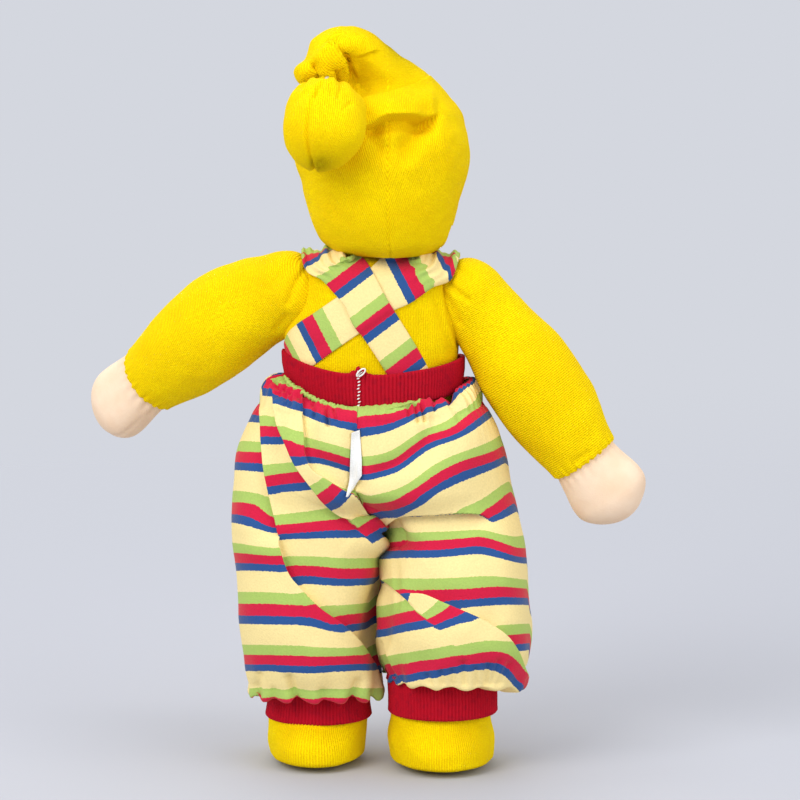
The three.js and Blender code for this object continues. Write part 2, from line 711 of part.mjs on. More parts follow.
/** A band that a strap is cut from: straight across the back or front, between two points of X and Z. */
function strapBand(from, to, front, wider = 0) {
  const [dx, dz] = [to[0] - from[0], to[1] - from[1]];
  const length = Math.hypot(dx, dz);
  const band = new THREE.BoxGeometry(length, farAway, strapWidth + wider);
  const turn = new THREE.Matrix4().makeRotationY(-Math.atan2(dz, dx));
  const middle = moved((from[0] + to[0]) / 2, front ? -farAway / 2 : farAway / 2, (from[1] + to[1]) / 2);
  return solid(band, middle.multiply(turn));
}

const leftStrapBack = [[24, 254], [-24, 184]];
const rightStrapBack = [[-22, 253], [58, 190]];

/** Where a strap's cloth may lie: its back and front bands, clear of the neck and of the arms. */
function strapPath(side, back) {
  const front = strapBand([side * strapFrontX, shoulderTop + 20], [side * strapFrontX, strapTuck], true);
  return strapBand(...back, false).add(front).intersect(slab(strapTuck, farAway))
    .subtract(neckHole(wearGap)).subtract(armRoom(seatGap));
}

/** The two straps: each starts over one shoulder, crosses the back and ends behind the waistband. */
function straps() {
  const [low, high] = [wearGap, wearGap + strapCloth];
  const lift = strapCloth + touchGap;
  const under = strapBand(...rightStrapBack, false, 2 * touchGap);
  const beside = strapBand(...rightStrapBack, false, 2 * touchGap + 2 * strapCloth);
  const upper = overBody(low, high).subtract(under)
    .add(overBody(low + lift, high + lift).intersect(beside))
    .add(overBody(low, high + lift).intersect(beside).subtract(under));
  return [
    piece('left_strap', upper.intersect(strapPath(1, leftStrapBack)), creamJersey),
    piece('right_strap', overBody(low, high).intersect(strapPath(-1, rightStrapBack)), creamJersey),
  ];
}

function dungarees(left, right, arms) {
  const cutaway = (grow) => [left, right].reduce((all, leg) => all.add(stuffed(leg.trouser, grow)),
    stuffed(seatForm, grow));
  const legTops = (leg) => leg.cuffTop + touchGap;
  const shell = cutaway(0).subtract(cutaway(-jerseyWall)).subtract(arms)
    .intersect(slab(-farAway, waistbandLow - touchGap));
  const half = (leg, from, to) => shell
    .intersect(block([from, -farAway, legTops(leg)], [to, farAway, farAway]));
  const bandInside = 2 * wearGap + strapCloth;
  const band = stuffed(torsoForm, bandInside + ribCloth).subtract(stuffed(torsoForm, bandInside))
    .intersect(slab(waistbandLow, waistbandHigh)).subtract(armRoom(seatGap));
  return [
    piece('trouser_left', half(left, centreGap / 2, farAway), creamJersey),
    piece('trouser_right', half(right, -farAway, -centreGap / 2), creamJersey),
    piece('waistband', band, redRib),
  ];
}

/** The stitched seam in the middle of the waistband's back, with the loop of its thread end. */
function backSeam() {
  const [width, depth] = rowAt(torsoForm.rows, waistHeight);
  const grow = 2 * wearGap + strapCloth + ribCloth;
  const skin = (depth + grow) * Math.sqrt(1 - (backSeamX / (width + grow)) ** 2);
  const near = skin + touchGap;
  const run = stitchPitch * stitchCount;
  const spine = block([backSeamX - stitchThread / 2, near, waistbandLow],
    [backSeamX + stitchThread / 2, near + stitchThread, waistbandLow + run]);
  const rungs = Array.from({ length: stitchCount }, (_, n) => {
    const z = waistbandLow + stitchPitch * (n + 0.3);
    return block([backSeamX - stitchLength / 2, near, z],
      [backSeamX + stitchLength / 2, near + stitchThread, z + stitchThread]);
  });
  const loop = solid(new THREE.TorusGeometry(threadLoopRadius, stitchThread / 2, 4, roughSegments),
    moved(backSeamX, near + stitchThread / 2, waistbandLow + run + threadLoopRadius - stitchThread / 2)
      .multiply(new THREE.Matrix4().makeRotationX(Math.PI / 2)));
  const stitches = rungs.reduce((all, rung) => all.add(rung), spine.add(loop));
  return piece('back_seam_stitching', stitches, whiteThread);
}

/** The bare care label: a slip of tape sewn in at its top, tapering where it folds at the bottom. */
function careLabel() {
  const half = labelWidth / 2;
  const outline = new THREE.Shape([
    new THREE.Vector2(-half, 0), new THREE.Vector2(-half, -labelLength * 0.7),
    new THREE.Vector2(-half * 0.3 + half, -labelLength), new THREE.Vector2(half + 0.5, -labelLength * 0.95),
    new THREE.Vector2(half, 0),
  ]);
  const tape = new THREE.ExtrudeGeometry(outline, { depth: labelCloth, bevelEnabled: false });
  const labelY = seatHalfDepth - labelSag + touchGap + labelCloth;
  return piece('care_label', solid(tape, moved(backSeamX + 1, labelY, labelTop)
    .multiply(new THREE.Matrix4().makeRotationX(Math.PI / 2))), whiteThread);
}

function doll() {
  const left = legOf(1, 'left', leftStride, leftCuffLow);
  const right = legOf(-1, 'right', rightStride, rightCuffLow);
  const leftArm = armOf(1, 'left', leftArmAim);
  const rightArm = armOf(-1, 'right', rightArmAim);
  const pieces = [
    ...torso(), ...neck(), ...headPieces(), hood(), ...bobble(),
    leftArm.shoulderWool, leftArm.sleeve, leftArm.armWool, leftArm.hand,
    rightArm.shoulderWool, rightArm.sleeve, rightArm.armWool, rightArm.hand,
    left.skin, left.wool, left.cuff, right.skin, right.wool, right.cuff,
    ...dungarees(left, right, leftArm.room.add(rightArm.room)), ...straps(), backSeam(), careLabel(),
  ];
  const group = new THREE.Group();
  group.add(...pieces);
  group.position.set(-originX, -originY, 0);
  return group;
}

export default doll();
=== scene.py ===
"""A soft cloth doll in a hooded terry suit and striped jersey dungarees, seen from behind.

The doll is modelled in millimetres from its own midline, and each finished mesh is then brought to the
frame in metres. The doll faces -Y, and its left hand points to +X.
"""
import json
import math

import bmesh
import bpy
import numpy as np
from mathutils import Matrix, Vector
from mathutils.bvhtree import BVHTree


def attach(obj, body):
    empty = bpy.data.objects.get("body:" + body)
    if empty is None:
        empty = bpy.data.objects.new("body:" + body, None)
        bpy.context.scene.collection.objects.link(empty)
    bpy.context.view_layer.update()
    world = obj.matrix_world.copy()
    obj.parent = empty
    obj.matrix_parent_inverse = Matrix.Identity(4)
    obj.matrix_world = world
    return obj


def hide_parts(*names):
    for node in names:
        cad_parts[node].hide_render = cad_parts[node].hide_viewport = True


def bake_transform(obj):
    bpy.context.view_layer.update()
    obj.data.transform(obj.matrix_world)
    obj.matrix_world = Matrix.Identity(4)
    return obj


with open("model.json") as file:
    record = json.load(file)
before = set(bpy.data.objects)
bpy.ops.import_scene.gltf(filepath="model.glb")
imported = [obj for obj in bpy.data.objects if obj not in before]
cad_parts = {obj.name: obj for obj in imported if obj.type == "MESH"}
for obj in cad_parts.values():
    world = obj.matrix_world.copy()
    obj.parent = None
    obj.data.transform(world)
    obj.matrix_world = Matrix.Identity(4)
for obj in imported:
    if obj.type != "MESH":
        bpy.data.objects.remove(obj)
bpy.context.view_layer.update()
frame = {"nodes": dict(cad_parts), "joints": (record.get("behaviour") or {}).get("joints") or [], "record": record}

MM = 0.001
joint_at = {joint["name"]: Vector(joint["pos_m"]) / MM for joint in frame["joints"]}
midline = (joint_at["left_hip"] + joint_at["right_hip"]) / 2
hip_height = midline.z
origin = Vector((midline.x, midline.y, 0.0))
TO_FRAME = Matrix.Scale(MM, 4) @ Matrix.Translation(origin)


def from_midline(x, y, z):
    """A point in millimetres from the doll's midline, in the frame's metres."""
    return TO_FRAME @ Vector((x, y, z))


# The camera stands behind the doll, two metres away and a little above its middle. The photo is 800 pixels
# wide and high, its pixels are 0.48 mm at the doll, and two of its lines are known in pixels.
CAMERA_DISTANCE = 2000
CAMERA_RISE = math.radians(8)
PIXEL = 0.48
MIDLINE_PIXEL = 379
FLOOR_PIXEL = 766
PICTURE_HALF = 400
AIM = np.array([(MIDLINE_PIXEL - PICTURE_HALF) * PIXEL, 0.0,
                (FLOOR_PIXEL - PICTURE_HALF) * PIXEL / math.cos(CAMERA_RISE)])
CAMERA_BACK = np.array([0.0, math.cos(CAMERA_RISE), math.sin(CAMERA_RISE)])
CAMERA_UP = np.array([0.0, -math.sin(CAMERA_RISE), math.cos(CAMERA_RISE)])
CAMERA_SPOT = AIM + CAMERA_BACK * CAMERA_DISTANCE


def in_picture(places):
    """Where points in midline millimetres lie in the photo from behind, in its pixels across and down."""
    away = places - CAMERA_SPOT
    scale = CAMERA_DISTANCE / PIXEL / -(away @ CAMERA_BACK)
    return np.stack([PICTURE_HALF - away[:, 0] * scale, PICTURE_HALF - (away @ CAMERA_UP) * scale], axis=1)


# Colours as they look in daylight
YELLOW_TERRY = "FFE000"
# painted shade: the deeper yellow painted into the hollows of the terry's pile
YELLOW_PILE_SHADE = "F5CA00"
PEACH = "F5DABD"
PEACH_WARM = "ECCAA8"
CREAM = "F6E09C"
GREEN = "AAC664"
RED = "CF1740"
BLUE = "27528F"
RIB_RED = "B6001F"
RIB_DARK = "8E0020"
WOOL = "F2ECDD"
WHITE_THREAD = "F6F6F2"
WHITE_TAPE = "F5F5F1"
EYE_BROWN = "5A3B2A"
LIP_ROSE = "C8505A"
FLOOR = "B9BBC2"
BACKGROUND = "D4D7DF"
AIR = "F2F3F8"

# The loops of each knit, in millimetres
TERRY_LOOP = 0.8  # as far apart as the photo shows them
TRICOT_LOOP = 0.7  # about 15 to a centimetre
JERSEY_LOOP = 0.9  # about 11 to a centimetre
RIB_LOOP = 0.8  # two to each rib

# Stripes of the jersey, in millimetres of cloth from the top down
STRIPE_PERIOD = 24.3
STRIPE_PITCH = 0.485  # millimetres of cloth to a pixel down the photo
GREEN_END = 5.2
RED_END = 10.5
BLUE_END = 14.4


def to_linear(hex_colour):
    """An sRGB hex colour as a linear colour with alpha."""
    channels = [int(hex_colour[i:i + 2], 16) / 255 for i in (0, 2, 4)]
    return tuple(c / 12.92 if c <= 0.04045 else ((c + 0.055) / 1.055) ** 2.4 for c in channels) + (1.0,)


def new_material(name):
    material = bpy.data.materials.new(name)
    material.use_nodes = True
    material.node_tree.nodes.clear()
    return material, material.node_tree


def add(tree, kind, inputs=None, **settings):
    """Adds a node with its settings, and links or sets its inputs."""
    made = tree.nodes.new(kind)
    for key, value in settings.items():
        setattr(made, key, value)
    for socket, value in (inputs or {}).items():
        if isinstance(value, bpy.types.NodeSocket):
            tree.links.new(value, made.inputs[socket])
        else:
            made.inputs[socket].default_value = value
    return made


def on_object(tree):
    """The place on the object that the patterns are laid by."""
    return add(tree, "ShaderNodeTexCoord").outputs["Object"]


def noise(tree, where, size, detail):
    """Soft patches of a size in millimetres."""
    return add(tree, "ShaderNodeTexNoise", {
        "Vector": where, "Scale": 1 / (size * MM), "Detail": detail}).outputs["Fac"]


def loop_pattern(tree, where, size, disorder=1.0):
    """Loops of yarn of a size in millimetres: the distance from the nearest loop's middle."""
    return add(tree, "ShaderNodeTexVoronoi", {
        "Vector": where, "Scale": 1 / (size * MM), "Randomness": disorder}).outputs["Distance"]


def worked_out(tree, operation, *values):
    """A step of arithmetic in a material."""
    return add(tree, "ShaderNodeMath", dict(enumerate(values)), operation=operation).outputs["Value"]


def two_tone(tree, share, deep, deep_at, light, light_at):
    """A colour that runs from a deep tone to a light one as a share grows."""
    ramp = add(tree, "ShaderNodeValToRGB", {"Fac": share})
    low, high = ramp.color_ramp.elements
    low.color, low.position = to_linear(deep), deep_at
    high.color, high.position = to_linear(light), light_at
    return ramp.outputs["Color"]


def shaded(tree, colour, tone, dimmest, brightest):
    """A colour that a pattern makes dimmer and brighter, between two strengths."""
    strength = add(tree, "ShaderNodeMapRange", {
        "Value": tone, "From Min": 0.3, "From Max": 0.7, "To Min": dimmest, "To Max": brightest})
    toned = add(tree, "ShaderNodeVectorMath", {0: colour, "Scale": strength.outputs["Result"]},
                operation="SCALE")
    return toned.outputs["Vector"]


def finish_cloth(tree, colour, height, depth, roughness, sheen, tint, gloss=0.25):
    """Closes a cloth material: its shader takes the colour, the bump and a soft sheen of loose fibres."""
    relief = add(tree, "ShaderNodeBump", {"Height": height, "Strength": 1.0, "Distance": depth * MM})
    shader = add(tree, "ShaderNodeBsdfPrincipled", {
        "Base Color": colour, "Roughness": roughness, "Normal": relief.outputs["Normal"],
        "Sheen Weight": sheen, "Sheen Roughness": 0.45, "Sheen Tint": to_linear(tint),
        "Specular IOR Level": gloss,
    })
    add(tree, "ShaderNodeOutputMaterial", {"Surface": shader.outputs["BSDF"]})


def terry_material():
    """Cotton terry, knitted with short loops that stand in rows: quite matt, with a grain of its loops, and with
    painted shade: a deeper yellow is painted where the pile lies low, between its loops and rows."""
    material, tree = new_material("cotton_terry_yellow")
    where = on_object(tree)
    wale = add(tree, "ShaderNodeAttribute", attribute_name="wale").outputs["Fac"]
    loops = loop_pattern(tree, where, TERRY_LOOP, disorder=0.7)
    fluff = noise(tree, where, 3.5, 2.0)
    # broad patches where the pile stands higher or lower; the low ones also take the painted shade
    uneven_pile = noise(tree, where, 25, 2.0)
    row = worked_out(tree, "SINE", worked_out(tree, "MULTIPLY_ADD", fluff, 2.5, wale))
    standing = worked_out(tree, "MULTIPLY_ADD", loops, -0.75, uneven_pile)
    height = worked_out(tree, "MULTIPLY_ADD", row, 0.28, standing)
    # painted shade: where the pile is low, between its loops and rows, it is painted the deeper yellow
    colour = two_tone(tree, height, YELLOW_PILE_SHADE, 0.0, YELLOW_TERRY, 0.25)
    finish_cloth(tree, colour, height, depth=0.4, roughness=0.95, sheen=0.15, tint=YELLOW_TERRY, gloss=0.08)
    return material


def tricot_material():
    """Cotton tricot, a very fine knit pulled tight like a skin: smooth and matt, with warmer patches."""
    material, tree = new_material("cotton_tricot_peach")
    where = on_object(tree)
    knit = loop_pattern(tree, where, TRICOT_LOOP)
    colour = two_tone(tree, noise(tree, where, 14, 3.0), PEACH_WARM, 0.2, PEACH, 0.62)
    finish_cloth(tree, colour, knit, depth=0.08, roughness=0.85, sheen=0.15, tint=PEACH)
    return material


def jersey_material():
    """Cotton jersey, flat and matt: its stripes are knitted in, so each of their edges steps from loop to
    loop."""
    material, tree = new_material("cotton_jersey_striped")
    where = on_object(tree)
    stripe = add(tree, "ShaderNodeAttribute", attribute_name="stripe").outputs["Fac"]
    loops = loop_pattern(tree, where, JERSEY_LOOP)
    ragged = worked_out(tree, "MULTIPLY_ADD", loops, 0.5, stripe)
    phase = worked_out(tree, "FRACT", worked_out(tree, "DIVIDE", ragged, STRIPE_PERIOD))
    ramp = add(tree, "ShaderNodeValToRGB", {"Fac": phase})
    bands = ramp.color_ramp
    bands.interpolation = "CONSTANT"
    bands.elements[0].color = to_linear(GREEN)
    bands.elements[1].position = GREEN_END / STRIPE_PERIOD
    bands.elements[1].color = to_linear(RED)
    bands.elements.new(RED_END / STRIPE_PERIOD).color = to_linear(BLUE)
    bands.elements.new(BLUE_END / STRIPE_PERIOD).color = to_linear(CREAM)
    colour = shaded(tree, ramp.outputs["Color"], noise(tree, where, JERSEY_LOOP, 2.0), 0.95, 1.04)
    finish_cloth(tree, colour, loops, depth=0.12, roughness=0.88, sheen=0.2, tint=CREAM)
    return material


def rib_material():
    """Cotton rib knit: its ribs are in the mesh, and its loops and the uneven dye of its yarn are here."""
    material, tree = new_material("cotton_rib_red")
    where = on_object(tree)
    yarn = loop_pattern(tree, where, RIB_LOOP)
    colour = two_tone(tree, noise(tree, where, 3, 3.0), RIB_DARK, 0.1, RIB_RED, 0.5)
    finish_cloth(tree, colour, yarn, depth=0.15, roughness=0.9, sheen=0.25, tint=RIB_RED)
    return material


def fibre_material(name, hex_colour, fibre, depth, sheen):
    """Threads, tape and wool: one colour, with fibres of the size given. The twist of a thread and the weave
    of the tape are finer than that, and are drawn as coarse as they need to show."""
    material, tree = new_material(name)
    fibres = noise(tree, on_object(tree), fibre, 5.0)
    colour = shaded(tree, to_linear(hex_colour)[:3], fibres, 0.84, 1.0)
    finish_cloth(tree, colour, fibres, depth=depth, roughness=0.8, sheen=sheen, tint=hex_colour)
    return material


MATERIALS = {
    "yellow_terry": terry_material(),
    "peach_tricot": tricot_material(),
    "striped_jersey": jersey_material(),
    "red_rib": rib_material(),
    "wool_stuffing": fibre_material("sheep_wool_carded", WOOL, 1.5, 1.0, 0.3),
    "white_thread": fibre_material("cotton_thread_white", WHITE_THREAD, 0.4, 0.05, 0.1),
    "white_tape": fibre_material("satin_tape_white", WHITE_TAPE, 0.5, 0.03, 0.1),
    "brown_thread": fibre_material("embroidery_cotton_brown", EYE_BROWN, 0.4, 0.05, 0.1),
    "rose_thread": fibre_material("embroidery_cotton_rose", LIP_ROSE, 0.4, 0.05, 0.1),
}


def rows_at(rows, s):
    """The sizes of a form at the places s, on a smooth curve through rows of a place and its sizes."""
    table = np.array(rows, float)
    knots, values = table[:, 0], table[:, 1:]
    s = np.clip(s, knots[0], knots[-1])
    slopes = np.gradient(values, knots, axis=0) if len(knots) > 2 else np.zeros_like(values)
    i = np.clip(np.searchsorted(knots, s, side="right") - 1, 0, len(knots) - 2)
    span = (knots[i + 1] - knots[i])[:, None]
    t = (s - knots[i])[:, None] / span
    return (values[i] * (2 * t**3 - 3 * t**2 + 1) + values[i + 1] * (3 * t**2 - 2 * t**3)
            + span * (slopes[i] * (t**3 - 2 * t**2 + t) + slopes[i + 1] * (t**3 - t**2)))


def smoothstep(low, high, value):
    t = np.clip((value - low) / (high - low), 0, 1)
    return t * t * (3 - 2 * t)


def bump(distance, width):
    return np.exp(-(distance / width) ** 2)


def points_of(mesh):
    """The places of a mesh's vertices, as an array."""
    places = np.empty(len(mesh.vertices) * 3)
    mesh.vertices.foreach_get("co", places)
    return places.reshape(-1, 3)


def normals_of(mesh):
    normals = np.empty(len(mesh.vertices) * 3)
    mesh.vertex_normals.foreach_get("vector", normals)
    return normals.reshape(-1, 3)


def set_points(mesh, places):
    mesh.vertices.foreach_set("co", np.ascontiguousarray(places).ravel())
    mesh.update()


def set_layer(mesh, name, values):
    """Keeps a number for each vertex, for the materials."""
    layer = mesh.attributes.get(name) or mesh.attributes.new(name, "FLOAT", "POINT")
    layer.data.foreach_set("value", np.asarray(values, np.float32))


WALE_PITCH = 1.0  # the real rows are about 0.8 mm apart, and are drawn a little coarser so that they show


def set_wales(mesh, across):
    """Rows of terry loops lie where the distance in millimetres grows by one pitch."""
    set_layer(mesh, "wale", np.asarray(across) * (2 * math.pi / WALE_PITCH))


def mesh_from(bm, name):
    mesh = bpy.data.meshes.new(name)
    bm.to_mesh(mesh)
    bm.free()
    return mesh


def stuffed(name, form, around=144, rings=112):
    """A stuffed form along Z with round ends, from rows of [z, half width, half depth, middle x and y]."""
    bm = bmesh.new()
    bmesh.ops.create_uvsphere(bm, u_segments=around, v_segments=rings, radius=1.0)
    mesh = mesh_from(bm, name)
    unit = points_of(mesh)
    low, high = form["low"], form["high"]
    tilt = np.arccos(np.clip(unit[:, 2], -1, 1))
    z = high - (high - low) * (1 - np.cos(tilt)) / 2
    sizes = rows_at(form["rows"], z)

    def rim(depth, reach, power=2.0):
        inside = np.clip(1 - depth / reach, 0, 1)
        return (1 - inside**power) ** (1 / power)

    closing = rim(z - low, form["low_round"], form.get("low_power", 2.0)) * rim(high - z, form["high_round"])
    angle = np.arctan2(unit[:, 1], unit[:, 0])
    middle = sizes[:, 2:4] if sizes.shape[1] > 2 else np.zeros((len(z), 2))
    places = np.stack([middle[:, 0] + np.cos(angle) * closing * sizes[:, 0],
                       middle[:, 1] + np.sin(angle) * closing * sizes[:, 1], z], axis=1)
    set_points(mesh, places)
    return mesh


def turned_to(direction, at):
    """The placing that takes +Z to a direction, with its foot at a point."""
    turn = Vector((0, 0, 1)).rotation_difference(Vector(direction))
    return Matrix.Translation(at) @ turn.to_matrix().to_4x4()


LUMP_CELLS = 24


def lumps(places, size, height, seed):
    """Gentle unevenness: a smooth noise of the size and height given, in millimetres."""
    cells = np.random.default_rng(seed).uniform(-1, 1, (LUMP_CELLS,) * 3)
    spot = places / size + seed * 0.37 + 100
    base = np.floor(spot).astype(int)
    part = spot - base
    part = part * part * (3 - 2 * part)
    total = np.zeros(len(places))
    for corner in np.ndindex(2, 2, 2):
        weight = np.prod(np.where(np.array(corner) == 1, part, 1 - part), axis=1)
        x, y, z = ((base + corner) % LUMP_CELLS).T
        total += weight * cells[x, y, z]
    return total * height


def swell(mesh, amount):
    """Moves each vertex along its normal by an amount."""
    set_points(mesh, points_of(mesh) + normals_of(mesh) * np.asarray(amount)[:, None])


def finish_piece(mesh, name, body, slot, *nodes):
    """A piece from a mesh in midline millimetres: it rides on its body and stands for its CAD nodes."""
    mesh.transform(TO_FRAME)
    mesh.materials.clear()
    mesh.materials.append(MATERIALS[slot])
    mesh.polygons.foreach_set("use_smooth", [True] * len(mesh.polygons))
    piece = bpy.data.objects.new(name, mesh)
    bpy.context.scene.collection.objects.link(piece)
    if body:
        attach(piece, body)
    if nodes:
        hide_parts(*nodes)
    return piece


def mesh_after(mesh, *modifiers):
    """The mesh that modifiers make of a mesh: each is a type and its settings."""
    worker = bpy.data.objects.new("worker", mesh)
    bpy.context.scene.collection.objects.link(worker)
    for kind, settings in modifiers:
        modifier = worker.modifiers.new(kind.lower(), kind)
        for key, value in settings.items():
            setattr(modifier, key, value)
    graph = bpy.context.evaluated_depsgraph_get()
    made = bpy.data.meshes.new_from_object(worker.evaluated_get(graph), depsgraph=graph)
    bpy.data.objects.remove(worker)
    return made


# The body, in millimetres from the midline
SHOULDER = (43, 0, 229)
SHOULDER_BALL = 18.4
WRIST = 97.5
ARM_END = 132
ARM_AIM = {1: (0.719, -0.452, -0.529), -1: (-0.577, 0.046, -0.815)}
HIP_SPREAD = 24
HIP_BALL = 20
STRIDE = {1: -7, -1: 8}
SIDE_NAMES = {1: "left", -1: "right"}

TORSO = {
    "rows": [[126, 34, 20, 0, 0], [152, 39, 24, 1, 0], [186, 38.8, 28, 3.2, 0], [198, 41.2, 28.3, 3.1, 0],
             [212, 42.4, 28, 2.9, 0], [229, 39.5, 27, 1, 0], [248.5, 36, 22, 0, 0]],
    "low": 126, "high": 248.5, "low_round": 14, "high_round": 10,
}
TORSO_RADIUS = 38  # what the terry's rows are counted by, round the body and round a leg
LEG_RADIUS = 24
COVER = 2.6  # the terry with the looser wool under it
BODY_MESHES = []  # what the straps lie on, in midline millimetres
BODY_CREASES = (
    ([(446, 285), (452, 320), (462, 350)], 1.6, -1.6), ([(437, 300), (446, 330), (452, 352)], 2.2, -1.0),
    ([(309, 352), (330, 345), (350, 335)], 3.0, -0.7), ([(300, 330), (312, 345)], 2.0, -1.0),
)


def core(mesh, name, body, node, inset):
    """The wool inside a cover: the cover's own form, moved in."""
    wool = mesh.copy()
    swell(wool, np.full(len(wool.vertices), -inset))
    finish_piece(mesh_after(wool, ("DECIMATE", {"ratio": 0.12})), name, body, "wool_stuffing", node)


def torso():
    mesh = stuffed("body_cover", TORSO, 240, 160)
    places = points_of(mesh)
    swell(mesh, lumps(places, 22, 1.2, 1) + lumps(places, 7, 0.35, 2))
    creased(mesh, BODY_CREASES)
    set_wales(mesh, TORSO_RADIUS * np.abs(np.arctan2(places[:, 0], places[:, 1])))
    BODY_MESHES.append(mesh.copy())
    core(mesh, "body_wool", "torso", "torso_wool", COVER)
    finish_piece(mesh, "body_cover", "torso", "yellow_terry", "torso_skin")


ARM_ROWS = {
    1: [[-SHOULDER_BALL, 18.4, 18.4], [0, 18.4, 18.4], [19.5, 20.4, 20.2], [47, 24.2, 23], [73, 23.4, 21.5],
        [WRIST, 18.2, 16.2]],
    -1: [[-SHOULDER_BALL, 18.4, 18.4], [0, 18.6, 18.4], [19.5, 20.6, 20], [47, 23.4, 22], [73, 21.8, 20.5],
         [WRIST, 16.6, 15.4]],
}
MITTEN_START = WRIST - 6
HAND_ROWS = {
    1: [[MITTEN_START, 16.6, 14.8], [WRIST, 17.2, 14.8], [WRIST + 6, 18.4, 15], [WRIST + 17, 19.6, 15.4],
        [ARM_END, 16.5, 14]],
    -1: [[MITTEN_START, 15.4, 14], [WRIST, 15.8, 13.8], [WRIST + 6, 17, 14.2], [WRIST + 17, 19.2, 15.2],
         [ARM_END, 16.5, 14]],
}
# how much higher than its straight line each arm runs: [millimetres along it, rise]
ARM_LIFT = {
    1: [[-20, 0], [0, 0.5], [20, 3.2], [42, 5.3], [85, 5.3], [WRIST, 4.4], [106, 3.0], [ARM_END, 1.7]],
    -1: [[-20, 0], [0, 1.2], [22, 3.4], [47, 1.2], [75, -0.5], [WRIST, -1], [ARM_END, 0]],
}
# how much fuller the arm's upper side is: [millimetres along it, rise]
ARM_FULLER = {
    1: [[-20, 0.8], [0, 2.2], [19, 4.4], [36, 4.3], [52, 1.9], [68, 0], [ARM_END, 0]],
    -1: [[-20, -1.5], [0, -2.6], [14, -3.4], [27, -2.8], [40, -0.8], [60, 0], [ARM_END, 0]],
}
ARM_CREASES = (
    ([(440, 268), (455, 290), (468, 300)], 1.5, -1.6), ([(436, 285), (449, 303), (458, 322)], 1.8, -1.3),
    ([(452, 262), (470, 278)], 2.2, -0.9), ([(309, 264), (297, 282), (288, 303)], 1.9, -1.4),
    ([(302, 258), (284, 270), (270, 288)], 2.5, -0.8), ([(286, 318), (276, 330)], 2.0, -1.2),
    ([(123, 352), (136, 372)], 1.6, -0.7), ([(150, 405), (160, 392)], 1.5, -0.7),
    ([(575, 462), (590, 452)], 1.6, -0.8),
)
SHOULDER_CORE = {"rows": [[-9, 9, 9], [9, 9, 9]], "low": -9, "high": 9, "low_round": 9, "high_round": 9}


def creased(mesh, creases, from_y=0):
    """Presses creases into the back of a mesh along lines of the photo: each has its width and its height."""
    places = points_of(mesh)
    spots = in_picture(places)
    amount = np.zeros(len(places))
    for line, width, height in creases:
        amount += height * bump(distance_to(spots, line, 24), width)
    swell(mesh, amount * smoothstep(-4, 4, places[:, 1] - from_y))


def set_on_arm(mesh, side, along):
    """Brings a form that was made along Z to its place on an arm, which runs in a slight bow."""
    aim = ARM_AIM[side]
    mesh.transform(turned_to(aim, Vector((side * SHOULDER[0], 0, SHOULDER[2]))))
    places = points_of(mesh)
    above = smoothstep(-8, 14, places[:, 2] - SHOULDER[2] - aim[2] * along)
    lift, fuller = (rows_at(rows[side], along)[:, 0] for rows in (ARM_LIFT, ARM_FULLER))
    places[:, 2] += lift + fuller * above
    set_points(mesh, places)


def sleeve(side):
    """A sleeve, drawn in at the wrist, and the wool in it."""
    name = SIDE_NAMES[side]
    mesh = stuffed(f"{name}_sleeve_cover", {
        "rows": ARM_ROWS[side], "low": -SHOULDER_BALL, "high": WRIST + 0.6, "low_round": SHOULDER_BALL,
        "high_round": 2.5}, 200, 160)
    places = points_of(mesh)
    along = places[:, 2]
    turn = np.arctan2(places[:, 1], places[:, 0])
    wrist_gather = bump(along - WRIST, 5) * (0.35 * np.cos(23 * turn) + 0.25 * np.cos(37 * turn + 1))
    swell(mesh, lumps(places, 24, 1.3, 4 + side) + lumps(places, 8, 0.4, 7 + side) + wrist_gather)
    set_wales(mesh, along)
    set_on_arm(mesh, side, along)
    creased(mesh, ARM_CREASES, -10)
    BODY_MESHES.append(mesh.copy())
    core(mesh, f"{name}_sleeve_wool", f"{name}_arm", f"{name}_arm_wool", COVER)
    piece = finish_piece(mesh, f"{name}_sleeve_cover", f"{name}_arm", "yellow_terry", f"{name}_sleeve")


def shoulder_core(side):
    """The ball of wool inside a shoulder."""
    name = SIDE_NAMES[side]
    mesh = stuffed(f"{name}_shoulder_core", SHOULDER_CORE, 32, 24)
    mesh.transform(Matrix.Translation((side * SHOULDER[0], 0, SHOULDER[2])))
    finish_piece(mesh, f"{name}_shoulder_core", f"{name}_shoulder", "wool_stuffing", f"{name}_shoulder_wool")


def mitten(side):
    """A plain round mitten with a seam round its edge, puckered where the sleeve is sewn on."""
    name = SIDE_NAMES[side]
    mesh = stuffed(f"{name}_mitten", {
        "rows": HAND_ROWS[side], "low": MITTEN_START, "high": ARM_END, "low_round": 2,
        "high_round": 14}, 160, 120)
    places = points_of(mesh)
    along = places[:, 2]
    turn = np.arctan2(places[:, 1], places[:, 0])
    seam = bump(np.abs(np.sin(turn)) * 16, 1.2) * smoothstep(WRIST + 2, WRIST + 12, along)
    pucker = bump(along - WRIST - 1, 4) * 0.3 * np.cos(19 * turn)
    swell(mesh, lumps(places, 16, 0.8, 11 + side) - 0.5 * seam + pucker)
    set_on_arm(mesh, side, along)
    finish_piece(mesh, f"{name}_mitten", f"{name}_arm", "peach_tricot", f"{name}_hand")


def leg_middle(side, z):
    """The middle of a leg at a height, from the hip to the foot."""
    share = (hip_height - z) / hip_height
    return side * (HIP_SPREAD + 5.5 * np.minimum(share * 1.35, 1)), STRIDE[side] * share


# each leg's form: a height, its half width and half depth, and how far the foot lies ahead of the leg
LEG_ROWS = ((0, 23.5, 31, 10), (12, 24.5, 31, 10), (22.5, 24, 26, 5), (40, 22, 21, 0), (86, 21, 20, 0),
            (125, 20, 20, 0), (153, 20, 20, 0))
# how much longer, wider and further out each foot is than that form
FOOT = {1: (6.0, -0.8, 1.0), -1: (4.0, 1.3, -1.0)}


